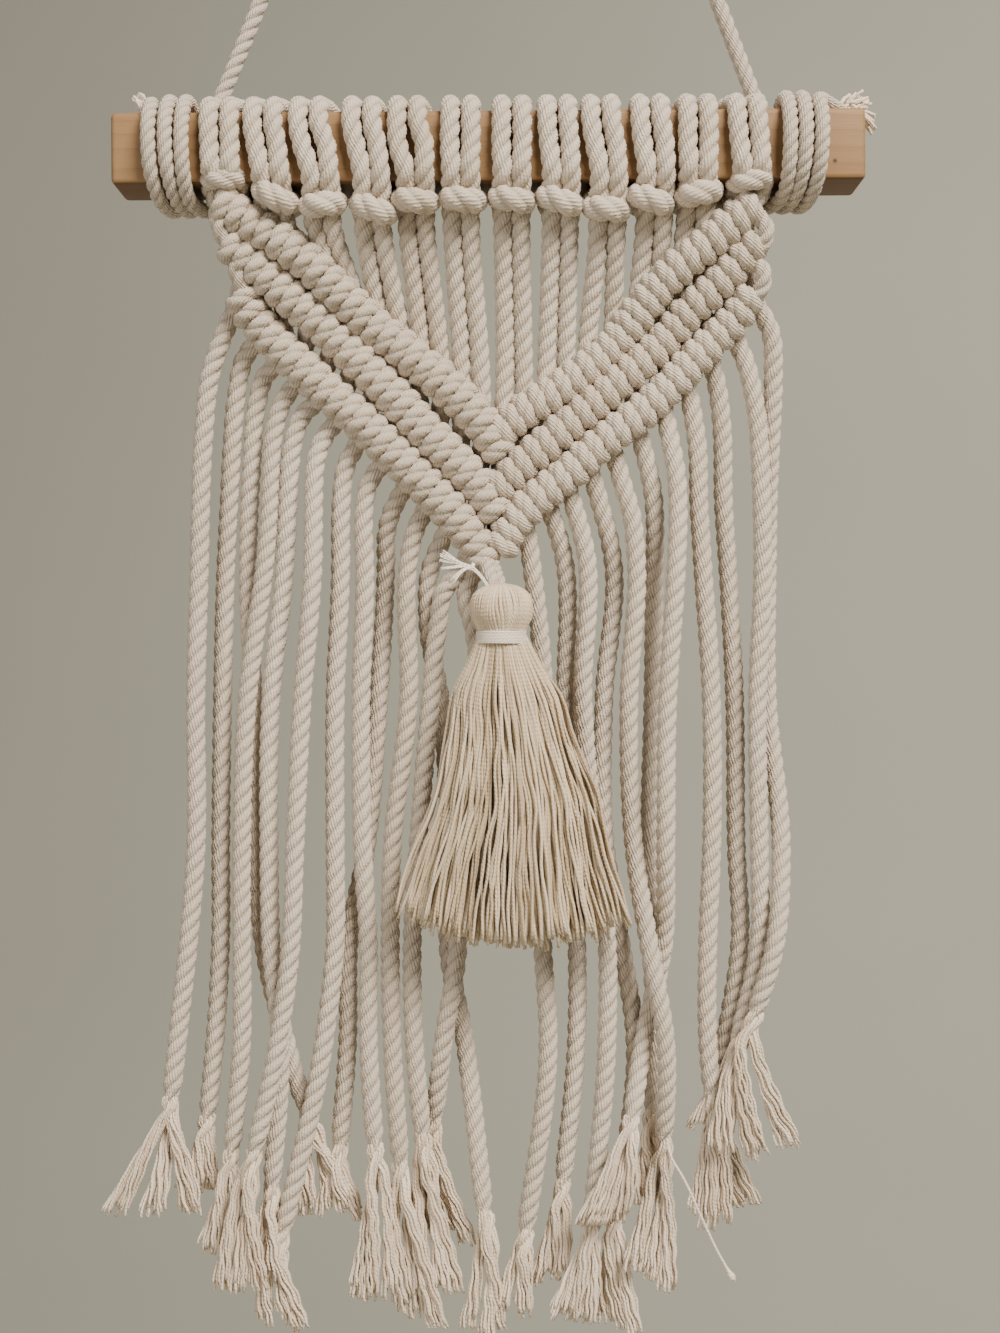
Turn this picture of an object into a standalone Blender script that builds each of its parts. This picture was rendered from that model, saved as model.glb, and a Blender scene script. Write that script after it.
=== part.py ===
"""Macrame wall hanging on a square wooden rod, hung from one nail.

Frame: +Z up, the front faces -Y, the wall is the plane y = 0 and the origin
is where the hanger's crown rests on the nail.  Tables are in millimetres.
"""
import bpy
import bmesh
import numpy as np
from math import atan, cos, pi, radians, sin

MM = 0.001                      # tables are in mm, meshes in metres
SHARP_FROM = radians(50.0)      # edges that turn more than this stay sharp
GAP = 0.5                       # clearance kept between pieces

# ---- material of each object ------------------------------------------
FINISH_COLUMNS = ("colour", "roughness", "metallic")
FINISHES = {
    "rod": ((0.45, 0.28, 0.15), 0.60, 0.0),
    "macrame": ((0.58, 0.50, 0.40), 0.90, 0.0),
    "hanger": ((0.60, 0.53, 0.43), 0.90, 0.0),
    "wrap_left": ((0.62, 0.55, 0.45), 0.90, 0.0),
    "wrap_right": ((0.62, 0.55, 0.45), 0.90, 0.0),
    "tassel": ((0.62, 0.53, 0.39), 0.75, 0.0),
    "tassel_band": ((0.74, 0.67, 0.55), 0.45, 0.0),
}

# ---- rod -------------------------------------------------------------
ROD_LEFT, ROD_RIGHT = -100.0, 99.6
ROD_TOP, ROD_BOTTOM = -169.9, -188.9
ROD_FRONT, ROD_BACK = -24.5, -5.5
ROD_EASE, ROD_END_EASE = 0.7, 1.4       # rounding of its long edges and of its ends
ROD_SLOPE = 0.0070              # it hangs a little lower on the left; heights are at its right end

# ---- cotton cord -------------------------------------------------------
CORD_R = 2.75                   # corner radius of the five-sided cord
CORD_SIDES = 5
CORD_TURN = radians(18.0)       # puts a flat side towards the rod
CORD_FLAT = CORD_R * cos(pi / CORD_SIDES)
END_CORD_R = 2.25               # thinner cord of the hanger and end wraps
END_CORD_FLAT = END_CORD_R * cos(pi / 6)
PAIR_HALF = 2.75                # half the spacing of a knot's two strands
CORNER_CUT = 0.9                # how far a cord leaves the rod's face beyond its edge

# ---- lark's head knots: x over the rod, x at its foot, x behind it, the
# crossing bar of the loop in front (x, z) and how much its right end rises
HEAD_COLUMNS = ("top_x", "foot_x", "back_x", "bar_x", "bar_z", "rise")
HEADS = [
    (-71.0, -70.5, -66.8, -70.5, -191.5, 0.0),
    (-59.5, -57.5, -56.0, -56.5, -194.5, -3.6),
    (-47.5, -44.5, -45.2, -44.0, -196.5, -0.8),
    (-33.5, -31.0, -32.5, -30.5, -197.5, -2.0),
    (-21.5, -19.5, -20.5, -19.5, -195.5, -1.0),
    (-7.5, -7.5, -7.5, -7.0, -195.0, -1.0),
    (6.0, 6.0, 6.0, 6.0, -195.0, -1.3),
    (18.0, 19.0, 18.5, 18.5, -195.0, -2.0),
    (29.5, 31.5, 30.5, 31.0, -197.5, -0.8),
    (42.5, 44.0, 43.0, 42.5, -195.0, -2.0),
    (55.0, 55.0, 54.5, 55.5, -193.5, 0.8),
    (68.0, 69.1, 65.2, 69.0, -191.0, 1.6),
]
HEAD_BAR_HALF, HEAD_BAR_Y = 4.2, -28.4
FOOT_Y, FOOT_DROP = -21.6, 2.9  # where a strand leaves the knot, under the rod
UNDER_Y = -18.4                 # and where it starts along the rod's underside

# ---- ridged rows of hitches: three on each side, (x, z) along each centre
# line from the outer end down to the middle
ROW_Y = -14.0
ROW_R, ROW_GROOVE = 4.8, 3.8    # radius over a wrap and between two wraps
ROW_END = 0.8                   # share of that radius at both ends
ROW_ANGLES = (0, 60, 120, 180)  # corners across a row, in degrees over its front
WRAPS = 19                      # wraps in each row
WEB_FRONT, WEB_BACK = 1.5, 4.5  # the strands between rows, ahead of and behind the line
WEB_STEP = 2.5                  # from one corner to the next along their back
ROWS = {
    "left": [
        [(-72.2, -195.8), (-63.0, -200.0), (-51.0, -206.5), (-39.0, -216.5),
         (-25.0, -229.5), (-11.5, -242.5), (0.0, -255.0)],
        [(-70.0, -204.5), (-57.0, -216.0), (-42.5, -229.5), (-28.0, -243.5),
         (-16.0, -255.5), (-0.5, -270.0)],
        [(-66.5, -217.0), (-53.0, -232.0), (-39.0, -246.5), (-29.0, -259.0),
         (-14.5, -273.5), (-1.0, -288.0)],
    ],
    "right": [
        [(70.4, -195.6), (62.0, -201.0), (50.5, -211.0), (38.0, -222.5),
         (25.0, -234.5), (12.5, -245.0), (1.5, -254.5)],
        [(71.0, -205.5), (63.5, -212.0), (50.0, -225.0), (34.5, -240.0),
         (20.5, -253.0), (2.0, -269.0)],
        [(70.0, -217.0), (62.5, -225.0), (51.5, -237.0), (36.5, -250.5),
         (20.5, -264.5), (4.0, -282.0)],
    ],
}
MIDDLE_X = 1.5
# ---- crossing knots where the two sides meet (x, z, radius) -------------
CENTRE_KNOTS = [(1.2, -262.0, 4.0), (3.2, -269.8, 4.0), (1.4, -277.5, 4.0), (3.8, -285.5, 3.9)]
CENTRE_KNOT_Y, CENTRE_KNOT_TALL = -14.9, 1.05

# ---- the 24 strands, left to right --------------------------------------
# row1_x and row3_x: where it passes the first and leaves the third row;
# at: x at each of STATIONS; end: where it frays; tip: middle of the frayed
# tips; fan: width of the tips; y: how far off the wall it hangs, all the way
# or at each of STATIONS and at its end where it passes a neighbour
STATIONS = (-288.5, -327.0, -368.0, -392.5, -419.5)
STRAND_COLUMNS = ("row1_x", "row3_x", "at", "end", "tip", "fan", "y")
STRANDS = [
    (-71.5, -67.5, (-79.0, -80.0, -80.0, -82.0, -85.0), (-87.0, -438.5), (-92.5, -469.0), 13, -8.8),
    (-66.0, -62.0, (-72.5, -73.5, -74.0, -74.0, -75.5), (-78.0, -445.0), (-81.0, -464.0), 6, -3.2),
    (-58.5, -56.6, (-66.5, -65.0, -64.0, -62.5, -56.5), (-54.5, -430.0), (-53.0, -455.0), 6, -3.2),
    (-50.5, -51.2, (-61.0, -66.0, -67.5, -67.5, -67.5), (-70.5, -453.0), (-75.5, -476.5), 7, -8.8),
    (-41.3, -45.8, (-55.5, -59.5, -60.0, -59.5, -57.0), (-59.5, -462.5), (-62.5, -484.5), 6, -8.8),
    (-35.8, -40.2, (-47.5, -50.5, -52.5, -53.5, -57.0), (-64.0, -451.5), (-68.0, -487.0), 8, -14.4),
    (-30.2, -34.0, (-40.5, -42.0, -42.0, -42.0, -45.0), (-57.0, -475.0), (-55.5, -498.0), 11, -8.8),
    (-24.0, -27.8, (-34.0, -35.0, -34.5, -33.0, -33.0), (-31.0, -451.5), (-32.5, -489.5), 8, -8.8),
    (-18.6, -21.6, (-28.5, -30.5, -34.0, -38.5, -39.0), (-41.5, -453.0), (-40.5, -470.0), 7, -3.2),
    (-13.1, -15.8, (-21.5, -22.0, -26.5, -27.0, -26.5), (-24.0, -456.5), (-19.5, -496.5), 10, -8.8),
    (-7.6, -10.2, (-16.0, -13.5, -10.5, -8.5, -12.5), (-15.5, -445.0), (-9.5, -474.5), 8,
     (-3.2, -3.2, -8.8, -8.8, -8.8, -3.2)),
    (-2.1, -4.6, (-11.5, -16.0, -19.5, -21.0, -20.5), (-18.0, -448.5), (-13.5, -486.5), 8, -8.8),
    (3.4, 1.0, (0.5, -2.5, -8.0, -11.5, -7.0), (-1.0, -469.5), (-1.0, -499.0), 7,
     (-8.8, -8.8, -3.2, -3.2, -3.2, -8.8)),
    (9.5, 9.5, (14.0, 15.0, 14.5, 14.5, 16.0), (9.5, -474.5), (7.0, -494.5), 6, -8.8),
    (15.3, 15.0, (20.5, 21.0, 22.5, 24.0, 24.0), (20.0, -462.5), (16.0, -487.5), 6, -3.2),
    (20.8, 20.8, (26.5, 25.5, 29.0, 32.0, 32.0), (27.5, -472.0), (22.5, -495.5), 8, -8.8),
    (26.3, 26.8, (34.0, 31.5, 32.0, 36.0, 40.0), (34.5, -471.0), (36.5, -500.5), 8, -3.2),
    (33.5, 33.0, (40.0, 38.0, 39.5, 43.0, 47.5), (47.5, -449.5), (43.0, -486.5), 9,
     (-8.8, -8.8, -8.8, -14.4, -14.4, -8.8)),
    (40.0, 39.8, (45.5, 45.0, 44.0, 44.5, 45.5), (44.5, -443.5), (45.5, -464.0), 6, -3.2),
    (46.0, 46.8, (50.5, 48.0, 47.5, 47.5, 42.0), (38.0, -442.5), (29.5, -468.0), 9,
     (-14.4, -14.4, -14.4, -8.8, -8.8, -14.4)),
    (51.6, 53.0, (58.0, 60.5, 60.5, 59.5, 59.5), (61.0, -438.0), (59.0, -470.0), 7, -8.8),
    (57.1, 59.4, (65.5, 67.5, 68.0, 69.0, 65.0), (62.5, -432.5), (68.0, -465.5), 7, -3.2),
    (62.6, 65.2, (74.5, 73.0, 73.5, 73.5, 68.5), (67.0, -422.5), (60.5, -446.0), 7, -8.8),
    (69.5, 70.8, (76.5, 76.5, 79.5, 77.0, 71.5), (70.8, -422.0), (71.0, -449.0), 13,
     (-3.2, -3.2, -8.8, -14.4, -14.4, -14.4)),
]
THROUGH_Y = -12.6               # where a strand runs inside the rows
NECK_DROP, STATION_DROP = 10.0, 16.0    # from the third row to its bend, to its first station
STRAND_RINGS = 8                # from the third row down to the fray
LOCK_INSET, LOCK_TIP_R = 0.74, 0.8
LOCK_DEPTH, LOCK_JITTER = 1.5, 2.5      # spread of the tips in depth, unevenness of their cut

# ---- tassel in front of the cords ---------------------------------------
TASSEL_X, TASSEL_Y = 3.2, -22.5
HEAD_TOP_Z, BAND_TOP, BAND_BOTTOM = -296.6, -11.4, -15.4     # the band's edges are from the top
NECK_R, BAND_THICK, BAND_BEVEL = 5.3, 1.1, 0.5
HEAD_PROFILE = (                # drop from the top, radius
    (0.0, 3.0), (0.7, 5.2), (3.0, 7.6), (6.2, 8.2), (9.2, 7.2), (11.0, NECK_R), (17.4, NECK_R),
)
HEAD_SIDES, HEAD_FOLD = 16, 0.95        # corners round the head, radius share in its folds
HEAD_FOLDED = 5                 # profile points that show the folds, above the band
TIE_R, TIE_DEPTH = 1.5, 7.0     # thin tie it hangs by, let into its head
TIE_HOLE_R = TIE_R + 0.65
TIE_START = [(-0.5, ROW_Y, -286.5), (0.6, -16.0, -291.0), (2.8, -21.7, -294.5)]
TUFT_LOCKS = 4                  # short frayed tuft beside the tie
TUFT_ROOT, TUFT_TIP = (-2.2, -13.9, -287.0), (-9.0, -16.0, -299.0)
TUFT_ROOT_STEP, TUFT_TIP_STEP = (-1.1, -1.2, 0.6), (-1.6, -0.7, 1.6)
SKIRT_RINGS = (                 # locks, share of the outline, share of the neck, tip z
    (32, 1.0, 0.84, -388.0),
    (18, 0.64, 0.58, -390.5),
    (8, 0.28, 0.30, -391.5),
)
SKIRT_LEFT, SKIRT_RIGHT, SKIRT_DEPTH = -27.0, 36.0, 8.6
SKIRT_ROOT = 1.5                # its locks start this far below the band
SKIRT_FRONT_LONGER = 5.0        # than at its two sides
SKIRT_PROFILE = ((0.0, 0.0), (0.30, 0.40), (0.62, 0.66), (1.0, 1.0))    # drop, spread
SKIRT_LOCK_R = (0.45, 1.2, 1.5, 1.3)

# ---- hanger and the turns of it round each end of the rod ---------------
NAIL_R = 1.5
HANGER_Y_TOP = -2.5
HANGER_FOOT_Z = -171.6
CROWN_HALF_ANGLE, CROWN_POINTS = 68.0, 9
LEG_BENDS = {                   # from the foot, where it leaves the rod
    "left": ((0.3, 0.1, 7.0), (2.6, 0.2, 12.6)),
    "right": ((0.2, 0.1, 7.0), (-1.9, 0.2, 12.6)),
}
PLY_CROWN, PLY_VALLEY = 1.04, 0.84      # radius shares over a ply and between two
WRAP_FRONT_X = {"left": (-89.4, -85.0, -80.6), "right": (87.4, 83.2, 79.0)}
WRAP_LAST_X = {"left": -75.65, "right": 74.05}
WRAP_SLANT, LAST_SLANT = 0.35, 0.1      # share of a turn's step taken on the front
TAIL_START = {"left": 3.4, "right": 5.0}        # outside the first turn
TAIL_Y, TAIL_TURN_Y, TAIL_TURN = -13.0, -17.5, 0.4
TAIL_TIP = {"left": (-96.6, -8.5, -164.6), "right": (103.4, -9.5, -165.6)}
LAY_PITCH = 14.6                # one full turn of the hanger's three plies


# ==== helpers =============================================================
def level(x):
    """How far the rod at x lies above its height at the right end."""
    return ROD_SLOPE * (x - ROD_RIGHT)


def smooth(points, count):
    """Catmull-Rom curve through points, sampled evenly by length."""
    p = np.asarray(points, float)
    p = np.vstack([2 * p[0] - p[1], p, 2 * p[-1] - p[-2]])
    dense = []
    for i in range(1, len(p) - 2):
        for t in np.linspace(0, 1, 12, endpoint=False):
            a, b, c, d = p[i - 1:i + 3]
            dense.append(0.5 * (2 * b + (c - a) * t + (2 * a - 5 * b + 4 * c - d) * t ** 2
                                + (3 * b - a - 3 * c + d) * t ** 3))
    dense.append(p[-2])
    return resample(np.array(dense), count)


def resample(points, count):
    """The same line with count points, evenly spaced by length."""
    p = np.asarray(points, float)
    s = np.concatenate([[0], np.cumsum(np.linalg.norm(np.diff(p, axis=0), axis=1))])
    t = np.linspace(0, s[-1], count)
    return np.stack([np.interp(t, s, p[:, k]) for k in range(3)], axis=1)


def frames(path, side):
    """Side and up vectors of each ring; one side is carried along the path,
    a table of sides is used as it is."""
    path = np.asarray(path, float)
    step = np.diff(path, axis=0)
    step /= np.linalg.norm(step, axis=1)[:, None]
    t = np.vstack([step[:1], step[1:] + step[:-1], step[-1:]])
    t /= np.linalg.norm(t, axis=1)[:, None]
    out = []
    u = side = np.asarray(side, float)
    for k in range(len(path)):
        u = side[k] if side.ndim == 2 else u
        u = u - t[k] * np.dot(u, t[k])
        u = u / np.linalg.norm(u)
        out.append((u.copy(), np.cross(t[k], u)))
    return out


def tube(path, radius, sides, side=(1, 0, 0), turn=0.0, spiral=False, caps=True):
    """Closed tube with flat ends; radius is one value, one per ring or a
    table of ring by corner, spiral turns the diagonals for twisted cord."""
    path = np.asarray(path, float)
    radius = np.broadcast_to(np.asarray(radius, float).reshape(-1, 1)
                             if np.ndim(radius) < 2 else radius, (len(path), sides))
    verts, faces = [], []
    for k, (u, v) in enumerate(frames(path, side)):
        for j in range(sides):
            a = turn + 2 * pi * j / sides
            verts.append(path[k] + radius[k, j] * (cos(a) * u + sin(a) * v))
    for k in range(len(path) - 1):
        for j in range(sides):
            a, b = k * sides + j, k * sides + (j + 1) % sides
            c, d = a + sides, b + sides
            if spiral:
                faces += [(a, b, d), (a, d, c)]
            else:
                faces.append((a, b, d, c))
    if caps:
        faces.append(tuple(range(sides))[::-1])
        last = (len(path) - 1) * sides
        faces.append(tuple(range(last, last + sides)))
    return verts, faces


def fray(verts, faces, ring, end, tip, fan, length_jitter):
    """Close a tube's end ring with one three-sided lock per wedge of it; the
    locks start apart inside the end and fan out to the tips."""
    end, tip = np.asarray(end, float), np.asarray(tip, float)
    hub = len(verts)
    verts.append(end)
    wedges = [(ring[j], ring[(j + 1) % len(ring)], hub) for j in range(len(ring))]
    middles = [np.mean([verts[i] for i in w], axis=0) for w in wedges]
    order = sorted(range(len(wedges)), key=lambda j: middles[j][0])
    for j, wedge in enumerate(wedges):
        share = order.index(j) / (len(wedges) - 1) - 0.5
        stop = tip + (share * fan, LOCK_DEPTH * (middles[j][1] - end[1]), length_jitter[j])
        root = [middles[j] + LOCK_INSET * (verts[i] - middles[j]) for i in wedge]
        far = [stop + LOCK_TIP_R * (q - middles[j]) / np.linalg.norm(q - middles[j]) for q in root]
        base = len(verts)
        verts += root + far
        for i in range(3):
            n = (i + 1) % 3
            faces.append((wedge[i], wedge[n], base + n, base + i))
            faces.append((base + i, base + n, base + 3 + n, base + 3 + i))
        faces.append((base + 3, base + 4, base + 5))


def ball(centre, radii, sides=8, rings=5):
    """Closed round knot."""
    verts, faces = [np.add(centre, (0, 0, radii[2]))], []
    for k in range(1, rings):
        a = pi * k / rings
        for j in range(sides):
            b = 2 * pi * j / sides
            verts.append(np.add(centre, (radii[0] * sin(a) * cos(b), radii[1] * sin(a) * sin(b),
                                         radii[2] * cos(a))))
    verts.append(np.add(centre, (0, 0, -radii[2])))
    for j in range(sides):
        n = (j + 1) % sides
        faces.append((0, 1 + j, 1 + n))
        for k in range(rings - 2):
            a = 1 + k * sides
            faces.append((a + j, a + sides + j, a + sides + n, a + n))
        a = 1 + (rings - 2) * sides
        faces.append((a + j, len(verts) - 1, a + n))
    return verts, faces


def finish(name):
    """The material of the object of that name."""
    values = dict(zip(FINISH_COLUMNS, FINISHES[name]))
    material = bpy.data.materials.new(name)
    material.use_nodes = True
    shader = material.node_tree.nodes["Principled BSDF"]
    shader.inputs["Base Color"].default_value = (*values["colour"], 1.0)
    shader.inputs["Roughness"].default_value = values["roughness"]
    shader.inputs["Metallic"].default_value = values["metallic"]
    return material


def place(name, mesh, at, turn=0.0):
    """An object of the mesh at a place in mm, turned about Y, on the nail."""
    ob = bpy.data.objects.new(name, mesh)
    ob.location = [MM * c for c in at]
    ob.rotation_euler.y = turn
    ob.parent = bpy.data.objects["nail"]
    bpy.context.scene.collection.objects.link(ob)
    return ob


def add_object(name, shells, at=(0, 0, 0)):
    """One object from a list of closed shells, whose points are in mm from
    the place it stands at."""
    mesh = bpy.data.meshes.new(name)
    verts, faces = [], []
    for v, f in shells:
        base = len(verts)
        verts += [tuple(MM * np.asarray(q)) for q in v]
        faces += [tuple(base + i for i in face) for face in f]
    mesh.from_pydata(verts, [], faces)
    bm = bmesh.new()
    bm.from_mesh(mesh)
    bmesh.ops.recalc_face_normals(bm, faces=bm.faces)
    bmesh.ops.triangulate(bm, faces=bm.faces)
    bm.to_mesh(mesh)
    bm.free()
    mesh.shade_smooth()
    mesh.set_sharp_from_angle(angle=SHARP_FROM)
    if name in FINISHES:
        mesh.materials.append(finish(name))
    return place(name, mesh, at)


def combine(ob, operation, shells):
    """Boolean of the object with other shells; both may overlap themselves."""
    tool = add_object(ob.name + "_" + operation.lower(), shells, [c / MM for c in ob.location])
    tool.hide_render = True
    tool.display_type = "WIRE"
    mod = ob.modifiers.new(operation.lower(), "BOOLEAN")
    mod.operation = operation
    mod.solver = "EXACT"
    mod.use_self = True
    mod.object = tool


def on_row(x, row):
    """z of a row's centre line at x."""
    pts = sorted(ROWS["left" if x < MIDDLE_X else "right"][row])
    return float(np.interp(x, [p[0] for p in pts], [p[1] for p in pts]))


def lock(root, tip, root_r, tip_r, bow=(0, 0, 0), segments=2, turn=0.0):
    """One three-sided lock of yarn from root to tip."""
    root, tip = np.asarray(root, float), np.asarray(tip, float)
    path = [root + (tip - root) * t + np.asarray(bow, float) * sin(pi * t)
            for t in np.linspace(0, 1, segments + 1)]
    return tube(path, np.linspace(root_r, tip_r, segments + 1), 3, turn=turn)


# ==== rod ===================================================================
def make_rod():
    size = (ROD_RIGHT - ROD_LEFT, ROD_BACK - ROD_FRONT, ROD_TOP - ROD_BOTTOM)
    middle = (ROD_LEFT + ROD_RIGHT) / 2
    centre = (middle, (ROD_BACK + ROD_FRONT) / 2, (ROD_TOP + ROD_BOTTOM) / 2 + level(middle))
    bm = bmesh.new()
    bmesh.ops.create_cube(bm, size=1.0)
    bmesh.ops.scale(bm, verts=bm.verts, vec=[MM * side for side in size])
    long_edges = [e for e in bm.edges if e.calc_length() * 2 > size[0] * MM]
    bmesh.ops.bevel(bm, geom=long_edges, offset=ROD_EASE * MM, segments=1, affect="EDGES")
    end_edges = [e for e in bm.edges if e.calc_length() * 2 < size[0] * MM]
    bmesh.ops.bevel(bm, geom=end_edges, offset=ROD_END_EASE * MM, segments=2, profile=0.5,
                    affect="EDGES")
    mesh = bpy.data.meshes.new("rod")
    bm.to_mesh(mesh)
    bm.free()
    mesh.shade_smooth()
    mesh.set_sharp_from_angle(angle=SHARP_FROM)
    mesh.materials.append(finish("rod"))
    place("rod", mesh, centre, turn=-atan(ROD_SLOPE))


# ==== macrame ===============================================================
def depths(strand):
    """How far off the wall a strand hangs at each station and at its end."""
    y = strand["y"]
    return y if isinstance(y, tuple) else (y,) * (len(STATIONS) + 1)


def strand_path(head, strand, side):
    """From the frayed end up through the rows and round the rod to the
    crossing bar at the knot's foot."""
    off = side * PAIR_HALF
    top, foot, back = head["top_x"] + off, head["foot_x"] + off, head["back_x"] + off
    lift = CORD_FLAT + GAP              # centre line off the rod's faces
    front, rear = ROD_FRONT - lift, ROD_BACK + lift
    up, under = ROD_TOP + lift, ROD_BOTTOM - lift
    loop = [
        (foot, FOOT_Y, under - FOOT_DROP),
        (foot, UNDER_Y, under),
        (back, ROD_BACK + CORNER_CUT, under),
        (back, rear, ROD_BOTTOM - CORNER_CUT),
        (back, rear, ROD_TOP + CORNER_CUT),
        (back, ROD_BACK + CORNER_CUT, up),
        (top, ROD_FRONT - CORNER_CUT, up),
        (top, front, ROD_TOP + CORNER_CUT),
        (foot, front, ROD_BOTTOM + GAP),
    ]
    loop = [(px, py, pz + level(px)) for px, py, pz in loop]
    loop.append((head["bar_x"] + side * HEAD_BAR_HALF, HEAD_BAR_Y,
                 head["bar_z"] + side * head["rise"] / 2))
    x1, x3, y = strand["row1_x"], strand["row3_x"], depths(strand)
    z1, z3 = on_row(x1, 0), on_row(x3, 2)
    through = [(x3, THROUGH_Y, z3), (x1, THROUGH_Y, z1)]
    bend = (0.4 * x3 + 0.6 * strand["at"][0], 0.5 * (y[0] + THROUGH_Y),
            min(z3 - NECK_DROP, 0.5 * (z3 + STATIONS[0])))
    stations = [point for point in zip(strand["at"], y, STATIONS) if point[2] < z3 - STATION_DROP]
    end = (strand["end"][0], y[-1], strand["end"][1])
    hang = smooth([through[0], bend] + stations + [end], STRAND_RINGS)
    return list(map(tuple, hang[:0:-1])) + through + loop


def knot(head, left, right, rng):
    """One folded cord: both strands, their loops over the rod and the bar
    that crosses in front, closed by the locks of its two frayed ends."""
    path = strand_path(head, left, -1) + strand_path(head, right, 1)[::-1]
    sides = [(1 if k < len(path) // 2 else -1, 0, 0) for k in range(len(path))]
    verts, faces = tube(path, CORD_R, CORD_SIDES, side=sides, turn=CORD_TURN, caps=False)
    last = len(path) - 1
    for strand, k in ((left, 0), (right, last)):
        ring = [k * CORD_SIDES + j for j in range(CORD_SIDES)]
        fray(verts, faces, ring, path[k], (strand["tip"][0], depths(strand)[-1], strand["tip"][1]),
             strand["fan"], rng.uniform(-LOCK_JITTER, LOCK_JITTER, CORD_SIDES))
    return verts, faces


def panel(lines):
    """Three ridged rows side by side as one closed body: each section across
    them has three lobes, larger over a wrap and smaller between wraps."""
    rings = 2 * WRAPS
    paths = [smooth([(x, ROW_Y, z) for x, z in line], rings) for line in lines]
    verts, faces = [], []
    for k in range(rings):
        across = paths[2][k] - paths[0][k]
        across /= np.linalg.norm(across)
        for row in range(3):
            r = ROW_R if (k + row) % 2 == 0 else ROW_GROOVE
            r = r * (ROW_END if k in (0, rings - 1) else 1.0)
            for a in ROW_ANGLES:
                verts.append(paths[row][k] - across * r * cos(radians(a))
                             - np.array((0, max(r * sin(radians(a)), WEB_FRONT), 0)))
        for row in (2, 1, 0):
            verts.append(paths[row][k] + across * WEB_STEP * (row - 1) + np.array((0, WEB_BACK, 0)))
    n = 3 * len(ROW_ANGLES) + 3
    for k in range(rings - 1):
        for j in range(n):
            a, b = k * n + j, k * n + (j + 1) % n
            faces.append((a, b, b + n, a + n))
    faces.append(tuple(range(n))[::-1])
    faces.append(tuple(range((rings - 1) * n, rings * n)))
    return verts, faces


def make_macrame():
    rng = np.random.default_rng(7)
    heads = [dict(zip(HEAD_COLUMNS, row)) for row in HEADS]
    table = [dict(zip(STRAND_COLUMNS, row)) for row in STRANDS]
    cords = [knot(head, table[2 * k], table[2 * k + 1], rng) for k, head in enumerate(heads)]
    knots = [panel(lines) for lines in ROWS.values()]
    for x, z, r in CENTRE_KNOTS:
        knots.append(ball((x, CENTRE_KNOT_Y, z), (r, r, r * CENTRE_KNOT_TALL)))
    # the thin tie that carries the tassel, ending inside the tassel's head
    drops = (1.0, TIE_DEPTH - GAP)
    tie = TIE_START + [(TASSEL_X, TASSEL_Y, HEAD_TOP_Z - drop) for drop in drops]
    knots.append(tube(tie, TIE_R, CORD_SIDES))
    for k in range(TUFT_LOCKS):
        count = np.array((k, k % 2, k))         # every second lock stands further out
        knots.append(lock(TUFT_ROOT + count * TUFT_ROOT_STEP, TUFT_TIP + count * TUFT_TIP_STEP,
                          0.9, 0.7, turn=k))
    combine(add_object("macrame", cords), "UNION", knots)


# ==== tassel ================================================================
def make_tassel():
    """Its points are measured from the middle of the head's top."""
    rng = np.random.default_rng(3)
    at = (TASSEL_X, TASSEL_Y, HEAD_TOP_Z)
    folds = np.where(np.arange(HEAD_SIDES) % 2, 1.0, HEAD_FOLD)
    radius = np.array([r * (folds if k < HEAD_FOLDED else np.ones(HEAD_SIDES))
                       for k, (_, r) in enumerate(HEAD_PROFILE)])
    core = tube([(0, 0, -drop) for drop, _ in HEAD_PROFILE], radius, HEAD_SIDES)
    root_z = BAND_BOTTOM - SKIRT_ROOT
    locks = []
    for count, share, neck, tip_z in SKIRT_RINGS:
        for k in range(count):
            a = 2 * pi * (k + (0.5 if share < 1 else 0.0)) / count
            reach = SKIRT_RIGHT - TASSEL_X if cos(a) > 0 else TASSEL_X - SKIRT_LEFT
            near = neck * NECK_R * np.array((cos(a), sin(a)))
            far = share * np.array((reach * cos(a), SKIRT_DEPTH * sin(a)))
            length = root_z - (tip_z - HEAD_TOP_Z) + SKIRT_FRONT_LONGER * (1 - abs(cos(a))) * share
            length += rng.uniform(-2.5, 1.5)
            path = [(*(near + (far - near) * spread), root_z - length * drop)
                    for drop, spread in SKIRT_PROFILE]
            locks.append(tube(path, SKIRT_LOCK_R, 3, turn=a + pi / 2))
    tassel = add_object("tassel", [core], at)
    combine(tassel, "UNION", locks)
    combine(tassel, "DIFFERENCE", [tube([(0, 0, 3.0), (0, 0, -TIE_DEPTH)], TIE_HOLE_R, 8)])


def make_band():
    """Its points are measured from the middle of the head's top."""
    inner, outer = NECK_R + GAP, NECK_R + GAP + BAND_THICK
    section = [(inner, BAND_TOP), (outer, BAND_TOP - BAND_BEVEL), (outer, BAND_BOTTOM + BAND_BEVEL),
               (inner, BAND_BOTTOM)]
    verts, faces, n = [], [], 20
    for k in range(n):
        a = 2 * pi * k / n
        verts += [(r * cos(a), r * sin(a), z) for r, z in section]
        for j in range(4):
            i, m = 4 * k, 4 * ((k + 1) % n)
            faces.append((i + j, m + j, m + (j + 1) % 4, i + (j + 1) % 4))
    add_object("tassel_band", [(verts, faces)], (TASSEL_X, TASSEL_Y, HEAD_TOP_Z))


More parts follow.
